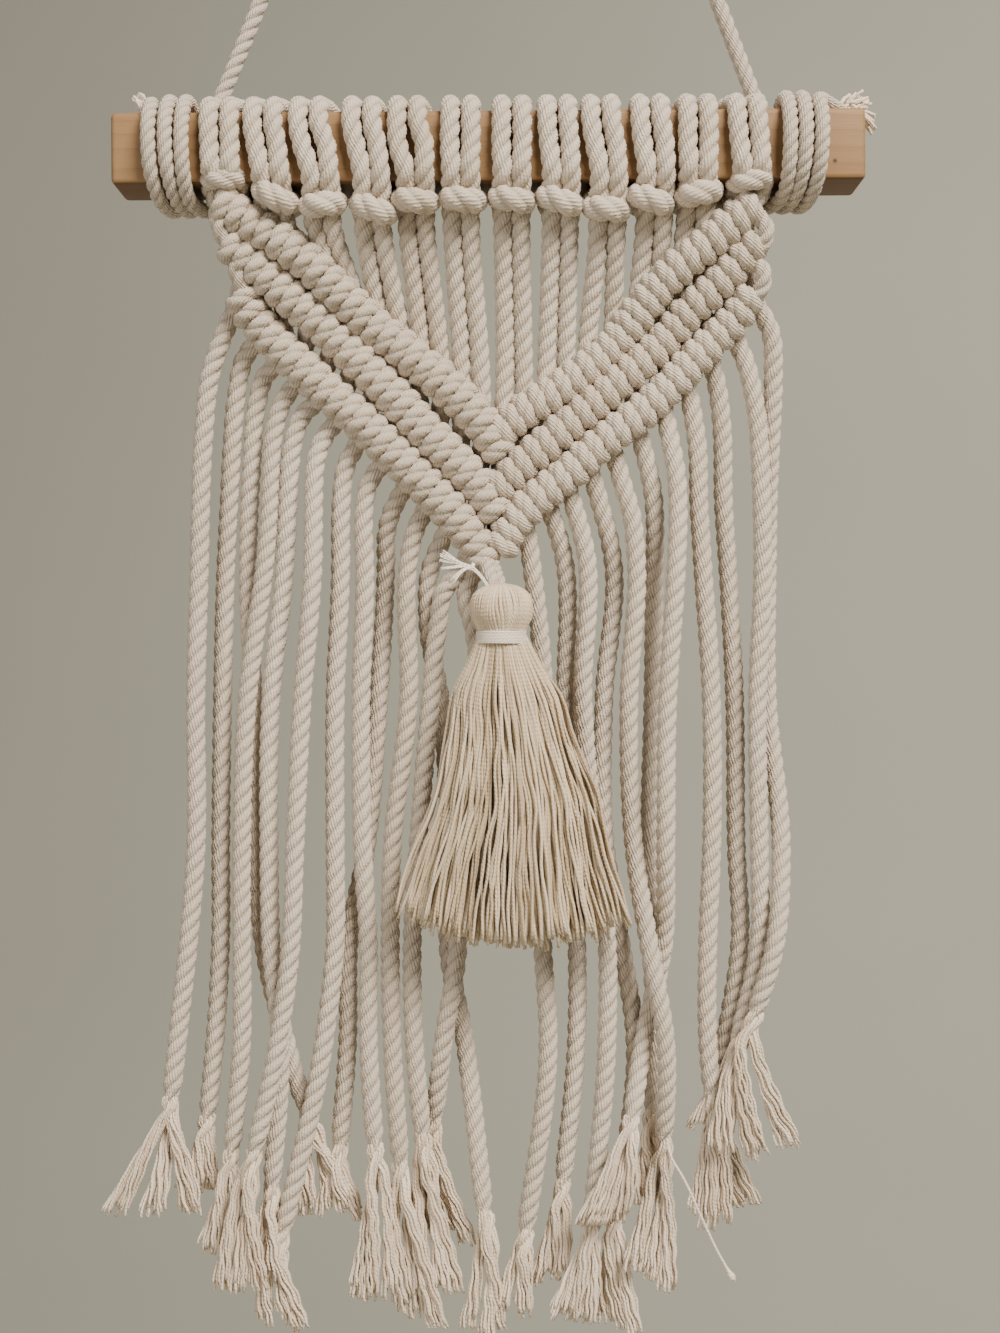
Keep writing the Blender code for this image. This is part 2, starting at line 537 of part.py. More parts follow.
# ==== hanger and end wraps ==================================================
def make_hanger():
    """Three plies laid together, from the rod's left end over the nail to its right end."""
    reach = END_CORD_R + NAIL_R
    rear = ROD_BACK + END_CORD_FLAT + GAP
    foot = {side: np.array((x, rear, HANGER_FOOT_Z)) for side, x in WRAP_LAST_X.items()}
    leg = {side: [foot[side]] + [foot[side] + bend for bend in LEG_BENDS[side]] for side in foot}
    turn = np.radians(np.linspace(90 + CROWN_HALF_ANGLE, 90 - CROWN_HALF_ANGLE, CROWN_POINTS))
    crown = [np.array((reach * cos(a), HANGER_Y_TOP, reach * sin(a) - NAIL_R)) for a in turn]
    line = leg["left"] + crown + leg["right"][::-1]
    length = sum(np.linalg.norm(np.subtract(b, a)) for a, b in zip(line, line[1:]))
    rings = int(round(length / (LAY_PITCH / 6))) + 1
    radius = np.array([[END_CORD_R * (PLY_VALLEY if (j - k) % 2 else PLY_CROWN) for j in range(6)]
                       for k in range(rings)])
    add_object("hanger", [tube(resample(line, rings), radius, 6, spiral=True)])


def make_wraps():
    """Three turns round each end of the rod, and a short frayed tail on top."""
    lift, cut = END_CORD_FLAT + GAP, CORNER_CUT
    front, rear = ROD_FRONT - lift, ROD_BACK + lift
    up, under = ROD_TOP + lift, ROD_BOTTOM - lift
    for side, fronts in WRAP_FRONT_X.items():
        out = -1 if side == "left" else 1
        start = fronts[0] + out * TAIL_START[side]
        path = [(start, TAIL_Y, up),
                ((1 - TAIL_TURN) * start + TAIL_TURN * fronts[0], TAIL_TURN_Y, up)]
        for k, x in enumerate(fronts):
            last = k + 1 == len(fronts)
            to = WRAP_LAST_X[side] if last else fronts[k + 1]
            slant = LAST_SLANT if last else WRAP_SLANT
            path += [(x, ROD_FRONT - cut, up), (x, front, ROD_TOP + cut),
                     (x + 0.5 * slant * (to - x), front, ROD_BOTTOM - cut),
                     (x + slant * (to - x), ROD_FRONT - cut, under),
                     (to, ROD_BACK + cut, under), (to, rear, ROD_BOTTOM - cut)]
            if not last:
                path += [(to, rear, ROD_TOP + cut), (to, ROD_BACK + cut, up)]
        path = [(px, py, pz + level(px)) for px, py, pz in path]
        path.append((WRAP_LAST_X[side], rear, HANGER_FOOT_Z - GAP))
        tail, inward = np.array(path[0]), np.subtract(path[1], path[0])
        inward /= np.linalg.norm(inward)
        across = np.cross(inward, (0, 0, 1))
        locks = [lock(tail + inward + 1.2 * k * across,
                      TAIL_TIP[side] + 1.7 * k * across + (0, 0, 0.0 if k else 0.7),
                      0.8, 0.75, turn=k) for k in (-1, 0, 1)]
        combine(add_object("wrap_" + side, [tube(path, END_CORD_R, 6)]), "UNION", locks)


for old in list(bpy.data.objects):
    bpy.data.objects.remove(old, do_unlink=True)
bpy.context.scene.collection.objects.link(bpy.data.objects.new("nail", None))
make_rod()
make_macrame()
make_tassel()
make_band()
make_hanger()
make_wraps()
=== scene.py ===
from math import atan, pi

import bmesh
import bpy
import numpy as np
from mathutils import Matrix


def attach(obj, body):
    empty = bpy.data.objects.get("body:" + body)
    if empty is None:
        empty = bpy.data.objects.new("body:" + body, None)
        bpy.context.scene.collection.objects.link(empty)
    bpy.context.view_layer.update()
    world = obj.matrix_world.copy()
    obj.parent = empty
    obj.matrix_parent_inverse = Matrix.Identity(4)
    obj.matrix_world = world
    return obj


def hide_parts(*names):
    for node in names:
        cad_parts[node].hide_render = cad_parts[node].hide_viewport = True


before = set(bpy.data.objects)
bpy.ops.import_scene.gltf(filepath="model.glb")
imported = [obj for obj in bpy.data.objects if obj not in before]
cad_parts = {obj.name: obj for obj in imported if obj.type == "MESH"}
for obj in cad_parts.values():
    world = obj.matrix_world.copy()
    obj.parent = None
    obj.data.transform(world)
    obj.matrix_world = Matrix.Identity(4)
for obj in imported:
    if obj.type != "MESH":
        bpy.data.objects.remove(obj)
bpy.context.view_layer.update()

MM = 0.001

# ---- rod ---------------------------------------------------------------------
# A planed square strip of pine, left bare.  The tree's heart lay behind and
# below it, so the grain runs along the front and curves across the sawn ends.

ROD_LEFT, ROD_RIGHT = -100.0, 99.6
ROD_TOP, ROD_BOTTOM = -169.9, -188.9
ROD_FRONT, ROD_BACK = -24.5, -5.5
ROD_EASE = 1.5                  # rounding of its edges by sanding
ROD_SLOPE = 0.0070              # it hangs a little lower on the left


def level(points):
    """Points measured from the rod's right end, moved down with the rod's slope."""
    return [(x, y, z + ROD_SLOPE * (x - ROD_RIGHT)) for x, y, z in points]


class Reading:
    """A socket of a finish; arithmetic on it adds Math nodes."""

    def __init__(self, finish, socket):
        self.finish, self.socket = finish, socket

    def math(self, operation, *others):
        values = [self] + list(others)
        return self.finish.node("Math", {"operation": operation}, dict(enumerate(values)))

    def __add__(self, other):
        return self.math("ADD", other)

    def __sub__(self, other):
        return self.math("SUBTRACT", other)

    def __mul__(self, other):
        return self.math("MULTIPLY", other)

    def __rsub__(self, other):
        return self.math("MULTIPLY_ADD", -1.0, other)

    def __pow__(self, other):
        return self.math("POWER", other)

    def __abs__(self):
        return self.math("ABSOLUTE")

    def fract(self):
        return self.math("FRACT")

    def sine(self):
        return self.math("SINE")

    __radd__, __rmul__ = __add__, __mul__


class Finish:
    """A material; node() adds one node and returns one of its outputs."""

    def __init__(self, name, **fixed):
        self.material = bpy.data.materials.new(name)
        self.material.use_nodes = True
        self.tree = self.material.node_tree
        self.shader = self.tree.nodes["Principled BSDF"]
        for key, value in fixed.items():
            self.shader.inputs[key.replace("_", " ")].default_value = value

    def plug(self, value, socket):
        if isinstance(value, Reading):
            self.tree.links.new(value.socket, socket)
        else:
            socket.default_value = value

    def node(self, kind, settings=None, sockets=None, out=0):
        made = self.tree.nodes.new("ShaderNode" + kind)
        for key, value in (settings or {}).items():
            if key == "stops":
                ramp = made.color_ramp.elements
                while len(ramp) < len(value):
                    ramp.new(0.5)
                for stop, (place, colour) in zip(ramp, value):
                    stop.position, stop.color = place, (*colour, 1.0)
            else:
                setattr(made, key, value)
        for key, value in (sockets or {}).items():
            self.plug(value, made.inputs[key])
        return Reading(self, made.outputs[out])

    def mix(self, share, first, second, blend="MIX"):
        colours = [c if isinstance(c, Reading) else (*c, 1.0) for c in (first, second)]
        return self.node("Mix", {"data_type": "RGBA", "blend_type": blend},
                         {0: share, 6: colours[0], 7: colours[1]}, out=2)

    def noise(self, place, scale, detail=2.0, roughness=0.5):
        return self.node("TexNoise", None, {"Vector": place, "Scale": scale, "Detail": detail,
                                            "Roughness": roughness})

    def stretched(self, place, size, shift=(0.0, 0.0, 0.0)):
        return self.node("Mapping", None, {"Vector": place, "Scale": size, "Location": shift})

    def wear(self, colour, roughness, height, depth, strength=1.0):
        bump = self.node("Bump", None, {"Height": height, "Distance": depth, "Strength": strength})
        for value, key in ((colour, "Base Color"), (roughness, "Roughness"), (bump, "Normal")):
            self.plug(value, self.shader.inputs[key])


def pine():
    wood = Finish("bare_pine", IOR=1.45)
    here = wood.node("TexCoord", out=3)
    drift = wood.noise(wood.stretched(here, (6.0, 26.0, 26.0)), 1.0, 3.0)
    x = wood.node("SeparateXYZ", None, {0: here})
    y = wood.node("SeparateXYZ", None, {0: here}, out=1)
    z = wood.node("SeparateXYZ", None, {0: here}, out=2)
    from_heart_y = y - 0.021
    from_heart_z = z + 0.236
    to_knot_x, to_knot_z = x - 0.0913, z + 0.1842
    knot = (1.0 - (to_knot_x * to_knot_x + to_knot_z * to_knot_z) * 1.6e6).math("MAXIMUM", 0.0)
    # painted shade: the face turned down is darkened in the wood's colour, standing in for the shadow under
    # the rod
    under = ((ROD_BOTTOM + 0.55) * MM - (z - (x - ROD_RIGHT * MM) * ROD_SLOPE)) * 4000.0
    radius = (from_heart_y * from_heart_y + from_heart_z * from_heart_z) ** 0.5
    ring = ((radius + drift * 0.0075 + x * 0.004) * 300.0).fract()
    late = ring ** 3.0
    fibre = wood.noise(wood.stretched(here, (40.0, 1500.0, 1500.0)), 1.0, 4.0, 0.6)
    pores = wood.noise(wood.stretched(here, (150.0, 3200.0, 3200.0)), 1.0, 2.0)
    blotch = wood.noise(wood.stretched(here, (14.0, 40.0, 70.0)), 1.0, 2.0)
    colour = wood.mix(late * 0.42, (0.29, 0.168, 0.072), (0.15, 0.068, 0.024))
    colour = wood.mix(fibre * 0.5, colour, (0.35, 0.215, 0.098))
    colour = wood.mix(blotch * 0.45, colour, (0.21, 0.108, 0.042))
    colour = wood.mix(knot, colour, (0.05, 0.022, 0.010))
    # painted shade along the underside, mixed in from the mask above
    colour = wood.mix(under.math("MINIMUM", 0.75).math("MAXIMUM", 0.0), colour, (0.085, 0.040, 0.016))
    wood.wear(colour, 0.52 + fibre * 0.2, fibre * 0.6 + pores * 0.5 + late * 0.3, 0.00012, 0.7)
    return wood.material


bm = bmesh.new()
bmesh.ops.create_cube(bm, size=1.0)
size = (ROD_RIGHT - ROD_LEFT, ROD_BACK - ROD_FRONT, ROD_TOP - ROD_BOTTOM)
bmesh.ops.scale(bm, verts=bm.verts, vec=[side * MM for side in size])
bmesh.ops.bevel(bm, geom=bm.edges[:], offset=ROD_EASE * MM, segments=4, profile=0.5, affect="EDGES")
bmesh.ops.rotate(bm, verts=bm.verts, matrix=Matrix.Rotation(-atan(ROD_SLOPE), 3, "Y"))
middle = (0.5 * (ROD_LEFT + ROD_RIGHT), 0.5 * (ROD_FRONT + ROD_BACK), 0.5 * (ROD_TOP + ROD_BOTTOM))
bmesh.ops.translate(bm, verts=bm.verts, vec=[c * MM for c in level([middle])[0]])
mesh = bpy.data.meshes.new("pine_rod")
bm.to_mesh(mesh)
bm.free()
mesh.shade_smooth()
mesh.set_sharp_from_angle(angle=0.6)
mesh.materials.append(pine())
rod = bpy.data.objects.new("pine_rod", mesh)
bpy.context.scene.collection.objects.link(rod)
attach(rod, "root")
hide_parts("rod")

# ---- hanger --------------------------------------------------------------------
# One thinner three-ply cotton cord, laid to the right, that runs from the back
# of the rod up over a nail and down to the other end.  It is pulled straight.

END_CORD_R, END_CORD_PITCH = 2.3, 11.0
NAIL_R, CROWN_Y, FOOT_Z = 1.5, -2.5, -171.6
REAR = ROD_BACK + 2.45
LEFT_FOOT = np.array((-75.65, REAR, FOOT_Z))
RIGHT_FOOT = np.array((74.05, REAR, FOOT_Z))


FINE_STEP = 0.35                # of the smooth line that the rings are spaced on


def run(points, step, soften=0.0):
    """A smooth line through the points, in rings about step apart."""
    p = np.asarray(points, float)
    gap = np.linalg.norm(np.diff(p, axis=0), axis=1)[:, None]
    slope = np.diff(p, axis=0) / gap
    pull = np.vstack([slope[:1], (slope[:-1] * gap[1:] + slope[1:] * gap[:-1]) / (gap[1:] + gap[:-1]),
                      slope[-1:]])
    line = []
    for k in range(len(gap)):
        t = np.linspace(0, 1, max(2, int(gap[k, 0] / FINE_STEP)), endpoint=False)[:, None]
        line.append((2 * t ** 3 - 3 * t ** 2 + 1) * p[k] + (t ** 3 - 2 * t ** 2 + t) * gap[k] * pull[k]
                    + (3 * t ** 2 - 2 * t ** 3) * p[k + 1] + (t ** 3 - t ** 2) * gap[k] * pull[k + 1])
    line = even(np.vstack(line + [p[-1:]]), FINE_STEP)
    if soften:
        reach = int(3 * soften / FINE_STEP)
        weight = np.exp(-0.5 * (np.arange(-reach, reach + 1) * FINE_STEP / soften) ** 2)
        weight /= weight.sum()
        reach = min(reach, len(line) - 1)
        weight = weight[len(weight) // 2 - reach:len(weight) // 2 + reach + 1]
        weight /= weight.sum()
        wide = np.vstack([2 * line[0] - line[reach:0:-1], line, 2 * line[-1] - line[-2:-reach - 2:-1]])
        line = np.stack([np.convolve(wide[:, k], weight, "valid") for k in range(3)], axis=1)
    return even(line, step)


def even(line, step):
    """The same line in equal steps of about the given length."""
    s = np.concatenate([[0], np.cumsum(np.linalg.norm(np.diff(line, axis=0), axis=1))])
    t = np.linspace(0, s[-1], max(3, int(round(s[-1] / step)) + 1))
    return np.stack([np.interp(t, s, line[:, k]) for k in range(3)], axis=1)


def ply_outline(corners, valley):
    """Radius at each corner of three plies laid together, 1 on a ply's crown."""
    each = corners // 3
    a = np.radians(np.arange(corners) % each * 120.0 / each - 60.0)
    round_ply = 0.48 * np.cos(a) + np.sqrt(0.52 ** 2 - (0.48 * np.sin(a)) ** 2)
    low = round_ply.min()
    return valley + (round_ply - low) * (1 - valley) / (1 - low)


class Lay:
    """Cords and yarns gathered into one mesh piece."""

    def __init__(self, name):
        self.name, self.verts, self.faces, self.uvs, self.tints = name, [], [], [], []
        self.count = 0

    def add(self, line, radius, outline, pitch=0.0, start=0.0, tint=0.5):
        """One closed tube along the line; its corners turn once in each pitch.
        Returns the directions of its three plies at each ring."""
        line = np.asarray(line, float)
        n, m = len(line), len(outline)
        length = np.concatenate([[0], np.cumsum(np.linalg.norm(np.diff(line, axis=0), axis=1))])
        t = np.gradient(line, axis=0)
        t /= np.linalg.norm(t, axis=1)[:, None]
        u = np.zeros((n, 3))
        side = np.cross(t[0], (0.31, 0.17, 0.93))
        for k in range(n):
            side = side - t[k] * side.dot(t[k])
            side /= np.linalg.norm(side)
            u[k] = side
        v = np.cross(t, u)
        lay = 2 * pi * length[:, None] / pitch if pitch else np.zeros((n, 1))
        angle = start + lay + 2 * pi * np.arange(m)[None, :] / m
        r = np.broadcast_to(np.asarray(radius, float).reshape(-1, 1), (n, 1)) * outline[None, :]
        ring = (line[:, None, :] + (r * np.cos(angle))[:, :, None] * u[:, None, :]
                + (r * np.sin(angle))[:, :, None] * v[:, None, :])
        base = self.count + np.arange(n - 1)[:, None] * m
        j = np.arange(m)[None, :]
        nxt = (j + 1) % m
        quads = np.stack([base + j, base + nxt, base + m + nxt, base + m + j], axis=2).reshape(-1, 4)
        along = np.broadcast_to(length[:-1, None], (n - 1, m)) * MM
        on = np.broadcast_to(length[1:, None], (n - 1, m)) * MM
        low, high = np.broadcast_to(j / m, (n - 1, m)), np.broadcast_to((j + 1) / m, (n - 1, m))
        uv = np.stack([along, low, along, high, on, high, on, low], axis=2).reshape(-1, 2)
        last = self.count + (n - 1) * m
        self.faces += quads.tolist() + [list(range(self.count, self.count + m))[::-1],
                                        list(range(last, last + m))]
        ends = np.repeat([[0.0, 0.5], [length[-1] * MM, 0.5]], m, axis=0)
        crown = angle[:, :1] + np.radians((60.0, 180.0, 300.0))
        self.uvs.append(np.vstack([uv, ends]))
        self.verts.append(ring.reshape(-1, 3))
        self.tints.append(np.full(n * m, tint))
        self.count += n * m
        return (np.cos(crown)[:, :, None] * u[:, None, :] + np.sin(crown)[:, :, None] * v[:, None, :])

    def make(self, material, node):
        mesh = bpy.data.meshes.new(self.name)
        mesh.from_pydata((np.vstack(self.verts) * MM).tolist(), [], self.faces)
        mesh.uv_layers.new(name="lay").data.foreach_set("uv", np.vstack(self.uvs).ravel())
        tint = mesh.attributes.new("tint", "FLOAT", "POINT")
        tint.data.foreach_set("value", np.concatenate(self.tints))
        mesh.shade_smooth()
        mesh.materials.append(material)
        piece = bpy.data.objects.new(self.name, mesh)
        bpy.context.scene.collection.objects.link(piece)
        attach(piece, "root")
        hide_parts(node)
        return piece


def cotton(name, pale, deep, pitch, yarns=18, crease_shade_strength=0.5):
    """Laid cotton cord: painted shade darkens the plies into their creases, fine yarns along it."""
    cord = Finish(name, Sheen_Weight=0.25, Sheen_Roughness=0.5, IOR=1.4)
    spot = cord.node("UVMap", {"uv_map": "lay"})
    along = cord.node("SeparateXYZ", None, {0: spot})
    around = cord.node("SeparateXYZ", None, {0: spot}, out=1)
    here = cord.node("TexCoord", out=3)
    valley = abs((around * 3.0).fract() - 0.5) * 2.0
    # painted shade: a mask that is 1 deep in the crease between plies; it also sinks the bump there
    crease_shade_and_dip = valley ** 5.0
    fuzz = cord.noise(here, 1500.0, 3.0, 0.6)
    strand = ((around * yarns + along * (1.2 * yarns / (pitch * MM)) + fuzz * 0.4) * (2 * pi)).sine()
    blotch = cord.noise(here, 130.0, 3.0)
    tint = cord.node("Attribute", {"attribute_name": "tint"}, out=2)
    colour = cord.mix(blotch * 0.5 + tint * 0.5, pale, deep)
    # towards 0.45 of the deep colour: painted shade in the creases, plus the real tone of the yarns and fuzz
    colour = cord.mix(crease_shade_and_dip * crease_shade_strength + (strand * -0.12 + 0.10) + (0.5 - fuzz) * 0.40, colour,
                      [c * 0.45 for c in deep])
    height = strand * 0.34 + fuzz * 1.3 - crease_shade_and_dip * 0.6
    cord.wear(colour, 0.82 + fuzz * 0.15, height, 0.00028, 1.0)
    return cord.material


PLIES = ply_outline(18, 0.79)
end_cotton = cotton("thin_cotton_cord", (0.72, 0.62, 0.505), (0.58, 0.475, 0.365), END_CORD_PITCH)

reach = END_CORD_R + NAIL_R
crown = [(reach * np.cos(a), CROWN_Y, -NAIL_R + reach * np.sin(a))
         for a in np.radians(np.linspace(158, 22, 9))]
hanger_line = run([LEFT_FOOT, LEFT_FOOT + (0.3, 0.1, 7.0), LEFT_FOOT + (2.6, 0.2, 12.6)] + crown
                  + [RIGHT_FOOT + (-1.9, 0.2, 12.6), RIGHT_FOOT + (0.2, 0.1, 7.0), RIGHT_FOOT], 0.8)
hanger = Lay("hanger_cord")
hanger.add(hanger_line, END_CORD_R, PLIES, END_CORD_PITCH, tint=0.3)
hanger_piece = hanger.make(end_cotton, "hanger")

# ---- end turns -------------------------------------------------------------------
# The hanger's two ends, each wound three times round the rod outside the knots
# and left as a short frayed tail on top.

WRAP_FRONT_X = {"left": (-89.4, -85.0, -80.6), "right": (87.4, 83.2, 79.0)}
TAIL_TIP = {"left": (-95.0, -12.0, -164.2), "right": (100.3, -11.5, -164.4)}
TAIL_SPREAD = {"left": (1.5, 1.8, 1.5), "right": (3.0, 3.4, 2.2)}
TAIL_END = {"left": 3.2, "right": 8.0}
LIFT = END_CORD_R + 0.1
WRAP_R, WRAP_PITCH = 2.12, 9.5
TAIL_YARNS, TAIL_YARN_R = 60, 0.42
SPIRAL = 2.4                    # angle from one yarn to the next in a round bundle


def yarn_line(root, heading, tip, bow, crimp, rng, step=2.6):
    """A loose yarn that leaves the root along the heading and wavers to its tip."""
    root, heading, tip = (np.asarray(q, float) for q in (root, heading, tip))
    length = np.linalg.norm(tip - root)
    t = np.linspace(0, 1, max(4, int(length / step) + 1))[:, None]
    out = root + heading * 0.45 * length
    line = (1 - t) ** 2 * root + 2 * t * (1 - t) * out + t ** 2 * tip
    wave, phase = rng.uniform(7.0, 11.0), rng.uniform(0, 2 * pi, 3)
    sway = np.sin(2 * pi * t * length / wave + phase) * crimp * np.minimum(1, 3 * t)
    return line + sway + np.sin(pi * t) * np.asarray(bow, float)


FIVE = np.ones(5)
FOUR = np.ones(4)
tails = Lay("wrap_tails")
tail_rng = np.random.default_rng(11)
for side, fronts in WRAP_FRONT_X.items():
    out = -1 if side == "left" else 1
    foot = LEFT_FOOT if side == "left" else RIGHT_FOOT
    front, rear = ROD_FRONT - LIFT, REAR
    up, under = ROD_TOP + LIFT, ROD_BOTTOM - LIFT
    start = fronts[0] + out * TAIL_END[side]
    route = [(start, -12.0, up + (0.8 if out < 0 else 0.0)), (0.6 * start + 0.4 * fronts[0], -16.5, up)]
    for k, x in enumerate(fronts):
        last = k + 1 == len(fronts)
        to = foot[0] if last else fronts[k + 1]
        slant = 0.1 if last else 0.35
        route += [(x, ROD_FRONT + 1.5, up), (x, front, ROD_TOP - 1.5),
                  (x + 0.5 * slant * (to - x), front, ROD_BOTTOM + 1.5),
                  (x + slant * (to - x), ROD_FRONT + 1.5, under),
                  (to, ROD_BACK - 1.5, under), (to, rear, ROD_BOTTOM + 1.5)]
        if not last:
            route += [(to, rear, ROD_TOP - 1.5), (to, ROD_BACK - 1.5, up)]
    route = level(route) + [(foot[0], rear, FOOT_Z - 0.4)]
    turns = Lay("wrap_cord_" + side)
    line = run(route, 0.9, 0.8)
    turns.add(line, WRAP_R, PLIES, WRAP_PITCH, tint=0.2 if out < 0 else 0.35)
    turns.make(end_cotton, "wrap_" + side)
    heading = (line[0] - line[3]) / np.linalg.norm(line[0] - line[3])
    for k in range(TAIL_YARNS):
        a, r = SPIRAL * k, np.sqrt((k + 0.5) / TAIL_YARNS)
        spot = line[0] - heading * 1.6 + (0, 1.8 * r * np.cos(a), 1.8 * r * np.sin(a))
        tip = np.add(TAIL_TIP[side], np.clip(tail_rng.normal(0, 0.6, 3), -1, 1) * TAIL_SPREAD[side])
        droops = side == "right" and k % 4 == 0
        if droops:
            tip = np.add(TAIL_TIP[side], (tail_rng.uniform(2.2, 3.8), tail_rng.uniform(-4, 4), -7.0))
            tip[2] += tail_rng.uniform(-2.0, 3.0)
        bow = (0, 0, 3.0 if droops else 0.8)
        tails.add(yarn_line(spot, heading, tip, bow, 0.35, tail_rng, 1.0), TAIL_YARN_R, FIVE,
                  tint=tail_rng.uniform(0, 0.5))

# ---- knotting cords ----------------------------------------------------------------
# Twelve thicker cords, each folded in half and hung on the rod by a lark's head
# knot: both halves come down the front and pass behind the folded bar.

CORD_R, CORD_PITCH = 2.75, 12.3
PAIR_HALF = 2.7
CORD_STEP = 1.15                # between rings
BAR_Y = -26.8
PRESSED = 2.5                   # centre line over the wood where the cord is pulled flat
# Twelve knots, left to right: x over the rod, at its foot and behind the rod; the middle of
# its bar; how much higher the bar's right end is; how far each half bows out in front
HEAD_COLUMNS = ("top_x", "foot_x", "back_x", "bar_x", "bar_z", "rise", "gap")
HEADS = [
    (-71.0, -70.5, -66.8, -70.1, -189.7, 0.0, 0.0),
    (-59.5, -57.5, -56.0, -56.5, -194.3, -3.6, 0.1),
    (-47.5, -44.5, -45.2, -44.0, -196.3, 0.8, 0.5),
    (-33.5, -31.0, -32.5, -30.5, -197.5, -2.6, 0.1),
    (-21.5, -19.5, -20.5, -19.5, -195.3, -1.0, 0.8),
    (-7.5, -7.5, -7.5, -7.0, -195.0, -1.0, 0.1),
    (6.0, 6.0, 6.0, 6.0, -195.0, -1.3, 0.1),
    (18.0, 19.0, 18.5, 18.5, -195.3, -2.4, 0.1),
    (29.5, 31.5, 30.5, 31.0, -197.5, -0.8, 0.1),
    (42.5, 44.0, 43.0, 42.5, -195.0, -2.4, 0.2),
    (55.0, 55.0, 54.5, 55.5, -193.3, 1.4, 0.1),
    (68.0, 69.1, 65.2, 69.0, -190.0, 1.6, 0.0),
]
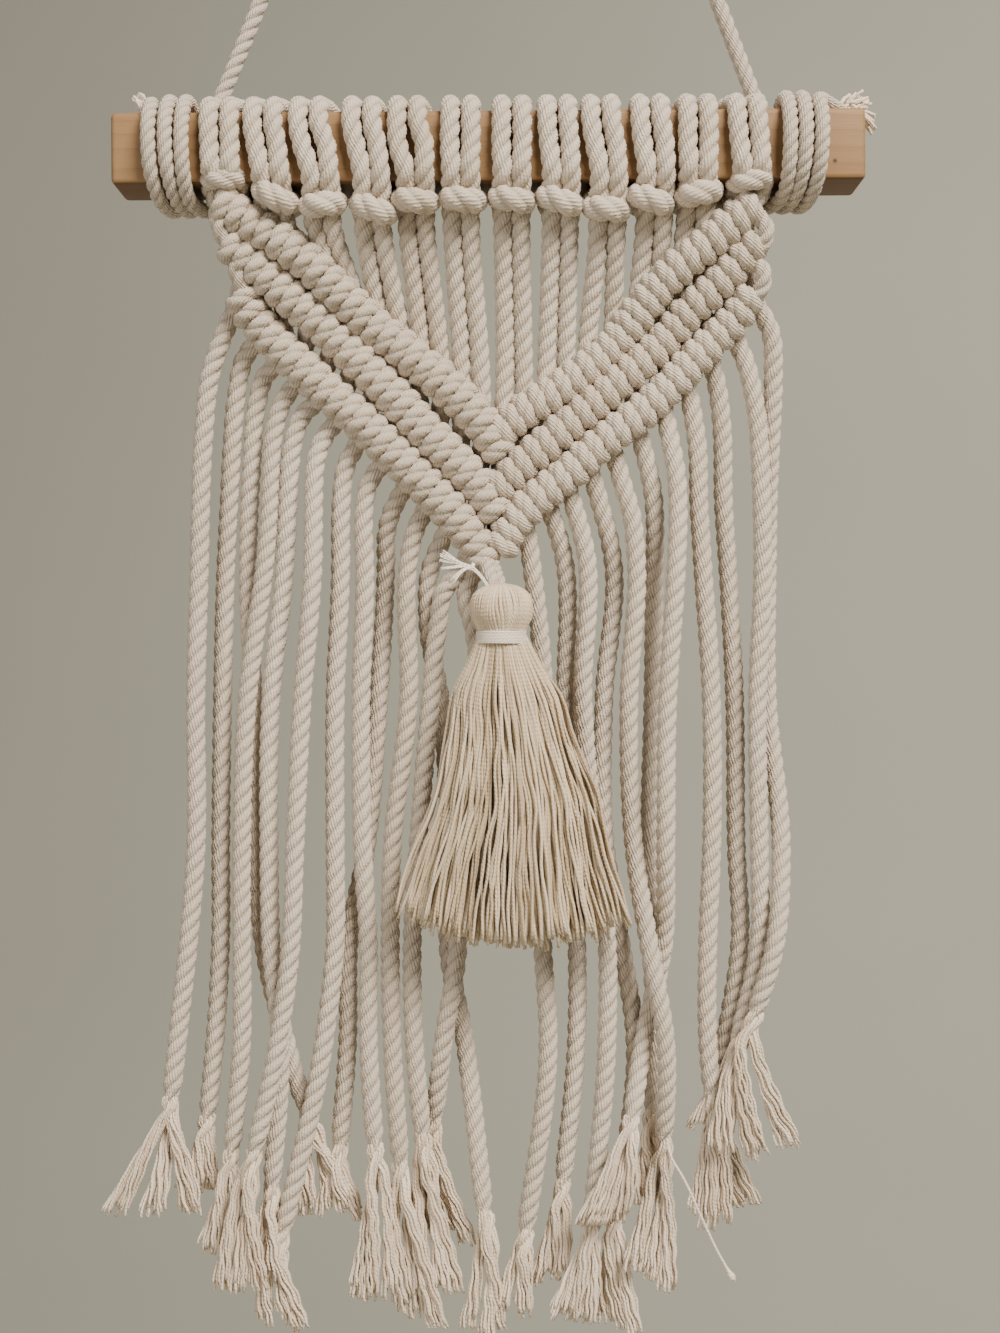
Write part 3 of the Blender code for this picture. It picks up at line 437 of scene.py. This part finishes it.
# The 24 strands, left to right.  row1_x, row3_x: where it meets the first row and leaves the
# third; neck: (x, z) of its points next below that; at: its x at each height in STATIONS;
# end, tip: (x, z) where it frays and where the yarns are cut; fan: about how far apart the
# outer plies are cut; y: its depth, one value, or one for each of STATIONS and one for end
STATIONS = (-288.5, -327.0, -368.0, -392.5, -419.5)
STRAND_COLUMNS = ("row1_x", "row3_x", "neck", "at", "end", "tip", "fan", "y")
STRANDS = [
    (-71.5, -67.5, ((-71.5, -227.0), (-75.5, -238.0), (-77.5, -254.0), (-78.5, -271.0)),
     (-79.0, -80.0, -80.0, -82.0, -85.0), (-87.0, -438.5), (-92.5, -468.5), 19, -8.8),
    (-66.0, -62.0, ((-66.0, -232.5), (-69.0, -244.0), (-70.5, -259.0), (-71.5, -274.0)),
     (-72.5, -73.5, -74.0, -74.0, -75.5), (-78.0, -445.0), (-81.0, -464.0), 6, -3.2),
    (-58.5, -56.6, ((-60.5, -237.5), (-63.5, -246.5), (-65.0, -261.5), (-66.0, -276.0)),
     (-66.5, -65.0, -64.0, -62.5, -56.5), (-49.8, -442.5), (-44.5, -468.0), 11, -3.2),
    (-50.5, -51.2, ((-55.5, -244.5), (-58.5, -253.5), (-59.5, -265.5), (-60.0, -278.0)),
     (-61.0, -66.0, -67.5, -67.5, -67.5), (-70.5, -453.0), (-75.5, -476.5), 7, -8.8),
    (-41.3, -45.8, ((-50.5, -249.0), (-53.5, -257.5), (-54.5, -268.5), (-55.0, -279.0)),
     (-55.5, -59.5, -60.0, -59.5, -57.0), (-59.5, -462.5), (-62.5, -484.5), 6, -8.8),
    (-35.8, -40.2, ((-44.8, -255.5), (-47.0, -262.0), (-47.5, -271.0), (-47.5, -280.0)),
     (-47.5, -50.5, -52.5, -53.5, -57.0), (-64.0, -451.5), (-68.0, -487.0), 8, -14.4),
    (-30.2, -34.0, ((-38.8, -262.5), (-40.0, -269.5), (-40.5, -278.5)),
     (-40.5, -42.0, -42.0, -42.0, -45.0), (-57.0, -475.0), (-55.5, -498.0), 11, -8.8),
    (-24.0, -27.8, ((-32.6, -267.5), (-34.0, -274.0), (-34.3, -281.0)),
     (-34.0, -35.0, -34.5, -33.0, -33.0), (-31.0, -451.5), (-32.5, -489.5), 8, -8.8),
    (-18.6, -21.6, ((-26.5, -275.0), (-28.3, -281.5)),
     (-28.5, -30.5, -34.0, -38.5, -39.0), (-41.5, -453.0), (-40.5, -470.0), 7, -3.2),
    (-13.1, -15.8, ((-20.3, -281.0), (-21.5, -286.0)),
     (-21.5, -22.0, -26.5, -27.0, -26.5), (-24.0, -456.5), (-19.5, -496.5), 10, -8.8),
    (-7.6, -10.2, ((-13.6, -284.8), (-16.3, -291.5), (-17.0, -304.0)),
     (-16.0, -13.5, -10.5, -8.5, -12.5), (-15.5, -445.0), (-9.5, -474.5), 8,
     (-3.2, -3.2, -8.8, -8.8, -8.8, -3.2)),
    (-2.1, -4.6, ((-8.0, -292.0), (-12.0, -296.5), (-14.0, -307.0)),
     (-11.5, -16.0, -19.5, -21.0, -20.5), (-18.0, -448.5), (-13.5, -486.5), 8, -8.8),
    (3.4, -1.5, ((-4.6, -293.0), (-6.4, -298.0), (-4.4, -307.0)),
     (0.5, -2.5, -8.0, -11.5, -7.0), (-1.0, -469.5), (-1.0, -499.0), 7,
     (-8.8, -8.8, -3.2, -3.2, -3.2, -8.8)),
    (9.5, 9.5, ((10.8, -284.8),),
     (12.0, 15.0, 14.5, 14.5, 16.0), (9.5, -474.5), (7.0, -494.5), 6, -8.8),
    (15.3, 15.0, ((18.3, -280.2), (20.0, -286.0)),
     (20.5, 21.0, 22.5, 24.0, 24.0), (20.0, -462.5), (16.0, -487.5), 6, -3.2),
    (20.8, 20.8, ((23.8, -277.0), (25.7, -284.0)),
     (26.5, 25.5, 29.0, 32.0, 32.0), (27.5, -472.0), (22.5, -495.5), 8, -8.8),
    (26.3, 26.8, ((30.0, -272.5), (32.5, -281.0)),
     (34.0, 31.5, 32.0, 36.0, 40.0), (34.5, -471.0), (36.5, -500.5), 8, -3.2),
    (33.5, 33.0, ((36.2, -268.0), (38.8, -277.0)),
     (40.0, 38.0, 39.5, 43.0, 47.5), (47.5, -449.5), (43.0, -486.5), 9,
     (-8.8, -8.8, -8.8, -14.4, -14.4, -8.8)),
    (40.0, 39.8, ((42.8, -261.5), (44.8, -270.5), (45.5, -280.0)),
     (45.5, 45.0, 44.0, 44.5, 45.5), (44.5, -443.5), (45.5, -464.0), 6, -3.2),
    (46.0, 46.8, ((49.0, -256.0), (50.5, -264.5), (51.0, -276.0)),
     (50.5, 48.0, 47.5, 47.5, 42.0), (38.0, -442.5), (29.5, -468.0), 9,
     (-14.4, -14.4, -14.4, -8.8, -8.8, -14.4)),
    (51.6, 53.0, ((55.3, -249.0), (56.6, -257.5), (57.0, -272.5)),
     (58.0, 60.5, 60.5, 59.5, 59.5), (61.0, -438.0), (59.0, -470.0), 7, -8.8),
    (57.1, 59.4, ((62.3, -242.5), (63.7, -253.5), (64.2, -272.5)),
     (65.5, 67.5, 68.0, 69.0, 65.0), (62.5, -432.5), (68.0, -465.5), 7, -3.2),
    (62.6, 65.2, ((70.0, -236.5), (72.5, -248.0), (74.0, -269.5)),
     (74.5, 73.0, 73.5, 73.5, 68.5), (67.0, -422.5), (60.5, -446.0), 7, -8.8),
    (69.5, 70.8, ((76.3, -227.0), (77.3, -238.5), (77.0, -253.5), (76.5, -271.0)),
     (76.5, 76.5, 79.5, 77.0, 71.5), (70.6, -414.5), (71.0, -449.0), 18,
     (-3.2, -3.2, -8.8, -14.4, -14.4, -14.4)),
]
ROW_Y_AT = ((-228.0, -194.0), (-14.0, -24.0))    # the rows lean back from the rod's front
PASS = 4.2                      # how far behind a row its strands run
MIDDLE_X = 1.5                  # where the rows of the two sides meet
LEAVES_DOWN = (-65.0, -8.0)     # strands that leave the last row here go straight down at first
ROWS = {
    "left": [
        [(-72.0, -194.5), (-67.5, -197.5), (-61.0, -201.5), (-50.0, -208.5), (-40.0, -218.0),
         (-31.0, -226.5), (-22.0, -233.5), (-14.0, -240.0), (-7.0, -246.5), (-1.0, -253.3), (3.4, -261.5)],
        [(-70.0, -204.8), (-63.5, -210.0), (-55.0, -217.5), (-47.5, -223.5), (-40.0, -230.5),
         (-33.5, -237.0), (-26.0, -244.5), (-20.5, -251.0), (-13.0, -258.5), (-6.0, -265.5),
         (-1.2, -271.0), (2.2, -277.4)],
        [(-67.0, -217.5), (-62.0, -225.5), (-56.5, -231.5), (-49.0, -238.5), (-41.5, -245.5),
         (-34.5, -251.5), (-27.5, -258.5), (-21.0, -265.0), (-13.0, -273.0), (-7.0, -280.0),
         (-2.5, -286.0), (-0.7, -290.5)],
    ],
    "right": [
        [(70.8, -195.3), (67.5, -197.5), (62.0, -202.0), (56.5, -206.5), (51.0, -210.5), (45.0, -216.5),
         (39.0, -224.0), (33.5, -231.0), (27.0, -237.0), (22.5, -240.5), (16.0, -245.0), (9.5, -248.7),
         (2.2, -255.4)],
        [(71.3, -204.0), (69.0, -206.3), (65.0, -211.0), (60.0, -216.5), (54.5, -221.0), (49.5, -227.0),
         (44.0, -233.0), (37.0, -239.0), (30.0, -245.0), (22.5, -251.5), (15.5, -257.5), (8.0, -263.8),
         (1.6, -270.3)],
        [(70.3, -217.3), (67.0, -222.5), (61.0, -229.0), (54.5, -235.5), (49.5, -241.0), (43.0, -247.5),
         (35.5, -253.3), (28.5, -258.8), (21.5, -265.5), (12.5, -272.5), (6.5, -279.0), (2.4, -286.8)],
    ],
}


def on_row(x, row):
    """Height of a row's centre line at x."""
    points = sorted(ROWS["left" if x < MIDDLE_X else "right"][row])
    return float(np.interp(x, [p[0] for p in points], [p[1] for p in points]))


def row_y(z):
    """How far off the wall the rows lie at a height."""
    return float(np.interp(z, *ROW_Y_AT))


def hanging(strand):
    """Route of one strand from its frayed end up to where it meets the first row."""
    x1, x3, y = strand["row1_x"], strand["row3_x"], strand["y"]
    y = y if isinstance(y, tuple) else (y,) * (len(STATIONS) + 1)
    z1, z3 = on_row(x1, 0), on_row(x3, 2)
    neck = strand["neck"]
    shares = [(k + 1) / (len(neck) + 1) for k in range(len(neck))]
    y3 = row_y(z3) + PASS
    down = [(x, y3 + (y[0] - y3) * share, z) for (x, z), share in zip(neck, shares)]
    if LEAVES_DOWN[0] < x3 < LEAVES_DOWN[1]:
        down.insert(0, (x3 - 1.5, y3, z3 - 4.5))
    down += [point for point in zip(strand["at"], y, STATIONS)
             if strand["end"][1] + 6.0 < point[2] < neck[-1][1] - 5.0]
    down.append((strand["end"][0], y[-1], strand["end"][1]))
    return down[::-1] + [(x3, y3, z3), (x1, row_y(z1) + PASS, z1)]


def over_rod(head, side):
    """Route of one half from behind the bar over the rod and back to the bar."""
    foot, top = head["foot_x"] + side * 2.35, head["top_x"] + side * PAIR_HALF
    belly = side * (PAIR_HALF + head["gap"])
    back = head["back_x"] + side * PAIR_HALF
    front, rear = ROD_FRONT - PRESSED, ROD_BACK + PRESSED
    up, under = ROD_TOP + PRESSED - 0.4, ROD_BOTTOM - PRESSED
    bar_x, bar_z = head["bar_x"], head["bar_z"]
    behind_bar = [(foot, -20.6, bar_z - 1.5), (foot, -22.6, bar_z + 3.2)]
    loop = [
        (foot, front, ROD_BOTTOM + 2.0),
        (0.5 * (head["foot_x"] + head["top_x"]) + belly, front, 0.5 * (ROD_TOP + ROD_BOTTOM)),
        (top, front, ROD_TOP - 4.0),
        (top, ROD_FRONT - 1.1, ROD_TOP + 0.4),
        (top, ROD_FRONT + 4.0, up),
        (back, ROD_BACK - 1.6, up),
        (back, rear, ROD_TOP - 1.6),
        (back, rear, ROD_BOTTOM + 1.6),
        (back, ROD_BACK - 1.6, under),
        (bar_x + side * 3.2, -17.5, under - 0.3),
    ]
    return behind_bar + level(loop) + [
        (bar_x + side * 3.7, -23.2, bar_z + side * head["rise"] / 2 + 0.8),
        (bar_x + side * 2.0, -26.9, bar_z + side * head["rise"] / 3),
    ]


cord_cotton = cotton("cotton_cord", (0.765, 0.66, 0.54), (0.61, 0.50, 0.38), CORD_PITCH)
heads = [dict(zip(HEAD_COLUMNS, row)) for row in HEADS]
strands = [dict(zip(STRAND_COLUMNS, row)) for row in STRANDS]
cord_rng = np.random.default_rng(5)
ends = []
for name, first in (("cords_left", 0), ("cords_middle", 4), ("cords_right", 8)):
    group = Lay(name)
    for k in range(first, first + 4):
        left, right, head = strands[2 * k], strands[2 * k + 1], heads[k]
        route = (hanging(left) + over_rod(head, -1)
                 + (hanging(right) + over_rod(head, 1))[::-1])
        line = run(route, CORD_STEP, 1.1)
        bar = np.array((head["bar_x"], BAR_Y, head["bar_z"]))
        away = np.linalg.norm(line - bar, axis=1)
        radius = CORD_R + (0.25 if k in (0, 11) else 0.75) * np.exp(-(away / 6.5) ** 2)
        to_end = CORD_STEP * np.minimum(np.arange(len(line)), np.arange(len(line))[::-1])
        radius = radius * np.interp(to_end, (0.0, 7.0), (0.45, 1.0))
        plies = group.add(line, radius, PLIES, CORD_PITCH + cord_rng.uniform(-0.4, 0.4),
                  cord_rng.uniform(0, 2 * pi), cord_rng.uniform(0, 1))
        for strand, at, before in ((left, 0, 6), (right, -1, -7)):
            heading = line[at] - line[before]
            ends.append((strand, line[at], heading / np.linalg.norm(heading), plies[at]))
    group.make(cord_cotton, "macrame")

# ---- ridged rows ---------------------------------------------------------------------
# Three rows of double half hitches on each side.  Every strand turns twice, tightly,
# round a carrier cord, so a row is a close winding of the same cord.

ROW_CORD_R = 2.65
ROW_PITCH = {"left": 9.8, "right": 10.4}
ROW_PLIES = ply_outline(18, 0.83)
WIND_R = {"left": (2.6, 2.85), "right": (2.45, 2.5)}      # at the outer end, at the middle
BEHIND = 1.8                    # a turn moves along the row behind it and crosses the front squarely
WIDE, DEEP = 1.14, 0.95         # the turns are pressed a little flat
ROW_WRAPS = {"left": (24, 25, 24), "right": (23, 23, 24)}
RINGS_IN_TURN = 17
CARRIER_R = 2.2

row_rng = np.random.default_rng(21)
# the rows' plies take a little less painted crease shade
row_cotton = cotton("row_cotton", (0.755, 0.65, 0.53), (0.60, 0.49, 0.37), ROW_PITCH["left"], crease_shade_strength=0.4)


def winding(piece, points, count, lean, spread, pitch):
    """A cord wound count times round a line, leaning the way its side is knotted."""
    centre = run([(x, row_y(z), z) for x, z in points], 0.5, 2.0)
    turn = np.linspace(0, count, count * RINGS_IN_TURN)
    share = turn + BEHIND * np.sin(2 * pi * turn) / (2 * pi) + 0.02 * np.sin(pi * turn)
    share = np.clip(share / count, 0, 1)
    grade = np.gradient(centre, axis=0)
    spot, t = (np.stack([np.interp(share * (len(centre) - 1), np.arange(len(centre)), q[:, k])
                         for k in range(3)], axis=1) for q in (centre, grade))
    upper = lean * np.stack([-t[:, 2], 0 * t[:, 0], t[:, 0]], axis=1)
    upper /= np.linalg.norm(upper, axis=1)[:, None]
    a = -0.5 * pi - 2 * pi * turn
    swell = np.interp(turn, np.arange(count + 1), row_rng.uniform(0.94, 1.06, count + 1))
    tuck = np.minimum(1, np.minimum(turn, count - turn) / 0.3)
    size = np.interp(share, (0, 0.6, 0.85, 1), (*spread, spread[1], 2.2)) * swell * (0.6 + 0.4 * tuck)
    line = spot + (WIDE * size * np.cos(a))[:, None] * upper
    line[:, 1] -= DEEP * size * np.sin(a)
    round_end = np.sqrt(np.clip(np.minimum(turn, count - turn) / 0.15, 0.02, 1))
    piece.add(line, ROW_CORD_R * round_end, ROW_PLIES, pitch, row_rng.uniform(0, 2 * pi),
              row_rng.uniform(0, 1))
    piece.add(run(centre[6:-6], 3.0), CARRIER_R, FIVE, tint=0.9)


for side, rows in ROWS.items():
    piece = Lay("rows_" + side)
    for count, points in zip(ROW_WRAPS[side], rows):
        winding(piece, points, count, 1.0 if side == "left" else -1.0, WIND_R[side], ROW_PITCH[side])
    links = {
        "left": (((-69.5, -196.5), (-71.6, -199.6), (-71.2, -202.6), (-68.5, -206.5)),
                 ((-66.0, -208.5), (-67.4, -211.2), (-66.6, -214.6), (-64.5, -219.5))),
        "right": (((70.0, -197.5), (73.2, -201.5), (72.8, -205.5), (69.0, -208.0)),
                  ((69.0, -208.5), (72.9, -212.5), (72.7, -217.0), (68.5, -221.0))),
    }[side]
    for link in links:
        bent = [(x, row_y(z) - (0.5, 2.0, 2.0, 0.5)[k], z) for k, (x, z) in enumerate(link)]
        piece.add(run(bent, 1.0, 0.8), 2.35, PLIES, 11.0, 1.0, row_rng.uniform(0, 1))
    piece.make(row_cotton, "macrame")

# ---- frayed ends ---------------------------------------------------------------------
# Below its last turn each strand is unlaid into its separate yarns, cut blunt.

FRAY_YARNS, YARN_R = 17, 0.41   # yarns in each ply
STRAY_YARN = [(48.1, -9.5, -445.0), (49.2, -12.0, -450.5), (52.0, -13.8, -455.0), (57.4, -14.5, -466.6),
              (61.6, -14.5, -475.5), (66.1, -14.5, -483.3)]    # the one with a knot at its end
STRAY_STEP = 1.6


def yarn_finish(name, pale, deep, shine=0.85):
    """Soft single yarns: each has its own tone and a slight twist."""
    yarn = Finish(name, Sheen_Weight=0.3, Sheen_Roughness=0.45, IOR=1.4)
    spot = yarn.node("UVMap", {"uv_map": "lay"})
    along = yarn.node("SeparateXYZ", None, {0: spot})
    around = yarn.node("SeparateXYZ", None, {0: spot}, out=1)
    here = yarn.node("TexCoord", out=3)
    twist = ((around * 2.0 + along * 900.0) * (2 * pi)).sine()
    fuzz = yarn.noise(here, 2200.0, 2.0, 0.6)
    tint = yarn.node("Attribute", {"attribute_name": "tint"}, out=2)
    colour = yarn.mix(tint * 0.75 + fuzz * 0.25, pale, deep)
    yarn.wear(colour, shine + fuzz * 0.12, twist * 0.5 + fuzz, 0.00012, 0.6)
    return yarn.material


# painted light: the loose yarns are coloured paler than the laid cord, standing in for their bright, sunlit
# look
yarn_cotton_painted_light = yarn_finish("loose_cotton_yarn", (0.88, 0.76, 0.625), (0.64, 0.51, 0.37))
fray_rng = np.random.default_rng(31)
for name, chosen in (("frayed_ends_left", ends[:12]), ("frayed_ends_right", ends[12:])):
    fringe = Lay(name)
    for strand, end, heading, plies in chosen:
        tip = np.array((strand["tip"][0], end[1], strand["tip"][1]))
        opened = heading * 0.42 * np.linalg.norm(tip - end)
        for side, ply in zip((-1, 0, 1), sorted(plies, key=lambda q: q[0])):
            aside = np.array((side * strand["fan"], 0, 0))
            cut = tip + 0.52 * aside + fray_rng.normal(0, (0.9, 0.9, 1.3))
            across = np.cross(heading, ply)
            low, high, late = (np.cos(a) * ply + np.sin(a) * across for a in (-2.6, -1.1, 0.7))
            ply_run = run([end - heading * 5.0 + low * 1.0, end - heading * 2.0 + high * 1.4,
                           end + heading * 2.5 + late * 1.6,
                           0.45 * (end + opened) + 0.55 * (0.6 * end + 0.4 * cut) + 0.1 * aside + late * 1.2,
                           cut], 1.7, 1.0)
            t = np.linspace(0, 1, len(ply_run))
            wave, phase = fray_rng.uniform(6.0, 8.0), fray_rng.uniform(0, 2 * pi)
            for k in range(FRAY_YARNS):
                a = SPIRAL * k + 5.0 * np.sqrt(t) + fray_rng.normal(0, 0.15)
                r = np.sqrt((k + 0.5) / FRAY_YARNS)
                crimp = 0.22 * np.sin(2 * pi * 1.7 * np.arange(len(t)) / wave + phase
                                      + fray_rng.normal(0, 0.8))
                yarn = ply_run.copy()
                yarn[:, 0] += r * np.cos(a) * (1.1 + (0.4 + 0.14 * strand["fan"]) * t ** 1.5) + crimp
                yarn[:, 1] += r * np.sin(a) * (1.1 + 0.6 * t)
                yarn[:, 2] += crimp
                fringe.add(yarn[:len(yarn) - fray_rng.integers(0, 3)], YARN_R, FOUR, start=SPIRAL * k,
                           tint=fray_rng.uniform(0, 1))
    if name == "frayed_ends_right":
        stray = run(STRAY_YARN, STRAY_STEP, 0.8)
        near_tip = np.linspace(len(stray) * STRAY_STEP, 0, len(stray))
        fringe.add(stray, 0.42 + 0.75 * np.exp(-((near_tip - 1.8) / 1.3) ** 2), FIVE, tint=0.1)
    fringe.make(yarn_cotton_painted_light, "macrame")
# the hanger's tails take the same paler yarn colour, painted light
tails.make(yarn_cotton_painted_light, "wrap_left")

# ---- tassel ----------------------------------------------------------------------------
# A bought cotton tassel: a hank of fine yarns folded over a tie, bound below the fold
# with a smooth band, and trimmed roughly level.

TASSEL_X, TASSEL_Y = 3.2, -22.5
HEAD_TOP_Z, BAND_TOP_Z, BAND_BOTTOM_Z = -296.6, -308.1, -311.8
# drop below the top, and radius
HEAD_PROFILE = ((-0.4, 1.6), (0.4, 4.8), (2.1, 7.1), (5.0, 8.0), (8.0, 7.7), (10.8, 6.3), (13.2, 5.6))
HEAD_YARNS, HEAD_YARN_R = 60, 0.48
# height, and x of the left and right edge
SKIRT = ((-311.5, -2.6, 9.3), (-323.3, -9.6, 18.3), (-338.0, -11.0, 22.6), (-352.8, -13.9, 27.8),
         (-371.4, -20.5, 31.8), (-388.5, -25.0, 36.5))
SKIRT_YARNS, TASSEL_YARN_R = 580, 0.44
SKIRT_FOOT_Z, SKIRT_POINTS = -389.6, 10

tassel_finish = yarn_finish("tassel_yarn", (0.76, 0.635, 0.465), (0.49, 0.37, 0.225), 0.5)
tassel_rng = np.random.default_rng(41)
tassel = Lay("tassel_yarns")
for layer, inset in ((0, 0.0), (1, 0.5), (2, 1.0)):
    for k in range(HEAD_YARNS):
        a = 2 * pi * (k + 0.5 * layer) / HEAD_YARNS + tassel_rng.normal(0, 0.012)
        loop = []
        for drop, r in HEAD_PROFILE:
            r = r - inset + tassel_rng.normal(0, 0.06)
            b = a + 0.05 * np.sin(0.4 * drop + 0.5 * k)
            loop.append((TASSEL_X + r * np.cos(b), TASSEL_Y + r * np.sin(b), HEAD_TOP_Z - drop - inset))
        tassel.add(run(loop, 1.3), HEAD_YARN_R, FIVE, tint=tassel_rng.uniform(0, 0.7))
for k in range(SKIRT_YARNS):
    a, r = SPIRAL * k, np.sqrt((k + 0.5) / SKIRT_YARNS)
    u, v = r * np.cos(a), r * np.sin(a)
    drift_u, drift_v = tassel_rng.normal(0, 0.10), tassel_rng.normal(0, 0.12)
    bottom = (SKIRT_FOOT_Z + (9.0 if u < 0 else 4.5) * abs(u) ** 1.8 + tassel_rng.normal(0, 1.2)
              - 1.0 * (1 - r))
    phase, wave = tassel_rng.uniform(0, 2 * pi, 2), tassel_rng.uniform(16, 30)
    heights = np.linspace(BAND_BOTTOM_Z + 3.0, bottom, SKIRT_POINTS)
    strand = []
    for step, z in enumerate(heights):
        fall = step / (SKIRT_POINTS - 1)
        left = np.interp(-z, [-row[0] for row in SKIRT], [row[1] for row in SKIRT])
        right = np.interp(-z, [-row[0] for row in SKIRT], [row[2] for row in SKIRT])
        wide = np.clip(u + drift_u * fall, -1.05, 1.05)
        depth = 5.2 + 3.6 * min(1.0, fall * 1.6)
        sway = 0.42 * min(1.0, 3 * fall)
        strand.append((0.5 * (left + right) + 0.5 * (right - left) * wide
                       + sway * np.sin(z / wave * 2 * pi + phase[0]),
                       TASSEL_Y + depth * np.clip(v + drift_v * fall, -1.0, 0.95)
                       + sway * np.sin(z / wave * 2 * pi + phase[1]), z))
    tassel.add(run(strand, 3.2), TASSEL_YARN_R, FOUR, start=a, tint=tassel_rng.uniform(0, 1))
tassel.make(tassel_finish, "tassel")

# the bright satin thread, wound eight times in a flat band below the fold
BAND_R, THREAD_R, THREAD_TURNS = 6.45, 0.27, 8
turn = np.linspace(0, THREAD_TURNS, THREAD_TURNS * 40)
thread_z = np.interp(turn, (0, THREAD_TURNS), (BAND_TOP_Z - THREAD_R, BAND_BOTTOM_Z + THREAD_R))
binding = Lay("tassel_binding")
binding.add(np.stack([TASSEL_X + BAND_R * np.cos(2 * pi * turn), TASSEL_Y + BAND_R * np.sin(2 * pi * turn),
                      thread_z], axis=1), THREAD_R, np.ones(6), tint=0.3)
binding.make(yarn_finish("satin_thread", (0.84, 0.77, 0.66), (0.72, 0.63, 0.50), 0.32),
             "tassel_band")

# the thin tie and the short tuft where its cut end fans out beside the last hitch
tie = Lay("tassel_tie")
TIE_LEGS = (
    (2.35, ((-1.2, -14.5, -287.5), (-0.6, -17.0, -290.2), (0.3, -20.0, -293.8), (2.0, -22.0, -298.5))),
    (1.75, ((0.9, -14.5, -288.5), (1.6, -16.5, -291.5), (2.6, -20.5, -294.6), (4.2, -22.5, -299.0))),
)
for thickness, points in TIE_LEGS:
    line = run(points, 0.7, 0.6)
    tie.add(line, thickness * np.interp(np.arange(len(line)), (0, 3), (0.4, 1.0)), PLIES, 7.5, 2.0,
            tint=0.3)
tie.make(row_cotton, "macrame")
tuft = Lay("tassel_tie_tuft")
TUFT_HUB = np.array((-4.6, -22.0, -291.4))
TUFT_TIPS = ((-12.3, -287.2), (-13.1, -289.4), (-12.6, -291.9), (-10.6, -295.4), (-9.6, -296.2),
             (-12.9, -288.2))
for k, (x, z) in enumerate(TUFT_TIPS):
    for twin in (-0.22, 0.22):
        out = np.array((x, -23.0 - 0.5 * (k % 3), z + twin))
        tuft.add(yarn_line(TUFT_HUB + (0.8, 0, 0.4 * twin), (-0.8, -0.1, 0.0), out, (0, -0.4, 0.3), 0.1,
                           tassel_rng, 1.2), 0.24, FOUR, tint=0.0)
for twin in (-0.3, 0.3):
    tuft.add(run([TUFT_HUB + (-0.6, 0, twin), TUFT_HUB + (0.6, -0.8, -0.6 + twin),
                  (-2.0, -22.6, -294.0 + twin), (-0.1, -23.0, -296.9 + twin)], 0.8),
             0.3, FIVE, tint=0.0)
tuft.add(run([TUFT_HUB + (-0.8, 0, -0.6), TUFT_HUB + (0.2, -0.3, 0.1), TUFT_HUB + (0.4, 0.3, 0.9)], 0.5),
         0.62, FIVE, tint=0.0)
tuft.make(yarn_finish("tie_yarn", (0.88, 0.82, 0.72), (0.76, 0.68, 0.56), 0.5), "macrame")

# ---- studio -------------------------------------------------------------------------------
# A plain pale sweep far below and behind, one large soft light high on the right, a
# weaker one on the left and one for the sweep.

bm = bmesh.new()
start = [bm.verts.new((x, -3.0, -1.3)) for x in (-5.0, 5.0)]
edge = [bm.edges.new(start)]
moves = [(0.0, 5.0, 0.0)] + [(0.0, 0.5 * np.cos(a), 0.5 * np.sin(a)) for a in np.radians((15, 35, 55, 75))]
for move in moves + [(0.0, 0.0, 3.6)]:
    grown = bmesh.ops.extrude_edge_only(bm, edges=edge)["geom"]
    fresh = [g for g in grown if isinstance(g, bmesh.types.BMVert)]
    bmesh.ops.translate(bm, verts=fresh, vec=move)
    edge = [g for g in grown if isinstance(g, bmesh.types.BMEdge)]
mesh = bpy.data.meshes.new("sweep")
bm.to_mesh(mesh)
bm.free()
mesh.shade_smooth()
paper = Finish("paper_sweep", Roughness=0.95)
mottle = paper.noise(paper.node("TexCoord", out=3), 1.5)
paper.plug(paper.mix(mottle, (0.47, 0.455, 0.375), (0.52, 0.505, 0.425)),
           paper.shader.inputs["Base Color"])
mesh.materials.append(paper.material)
sweep = bpy.data.objects.new("sweep", mesh)
bpy.context.scene.collection.objects.link(sweep)

LIGHTS = (
    ("key_light", (0.75, -1.2, 0.95), (0.0, 0.0, -0.28), 0.8, 78.0, (1.0, 0.925, 0.825)),
    ("fill_light", (-1.3, -1.3, 0.0), (0.0, 0.0, -0.28), 1.2, 15.0, (1.0, 0.95, 0.88)),
    ("backdrop_light", (1.6, 0.9, 1.2), (1.3, 3.0, -0.6), 1.2, 46.0, (1.0, 0.98, 0.93)),
)
for name, place, aim, size, power, colour in LIGHTS:
    light = bpy.data.lights.new(name, "AREA")
    light.size, light.energy, light.color = size, power, colour
    lamp = bpy.data.objects.new(name, light)
    lamp.location = place
    away = np.subtract(place, aim)
    lamp.rotation_euler = (np.arctan2(np.hypot(away[0], away[1]), away[2]), 0,
                           np.arctan2(away[0], -away[1]))
    bpy.context.scene.collection.objects.link(lamp)
world = bpy.data.worlds.new("studio")
world.use_nodes = True
world.node_tree.nodes["Background"].inputs["Color"].default_value = (0.84, 0.82, 0.76, 1.0)
world.node_tree.nodes["Background"].inputs["Strength"].default_value = 0.195
bpy.context.scene.world = world

camera = bpy.data.cameras.new("front_camera")
camera.lens, camera.sensor_width, camera.sensor_fit = 50.0, 36.0, "AUTO"
camera.clip_start, camera.clip_end = 0.01, 50.0
viewer = bpy.data.objects.new("front_camera", camera)
viewer.location, viewer.rotation_euler = (0.0029, -0.5131, -0.3177), (pi / 2, 0.0, 0.0)
bpy.context.scene.collection.objects.link(viewer)
bpy.context.scene.camera = viewer
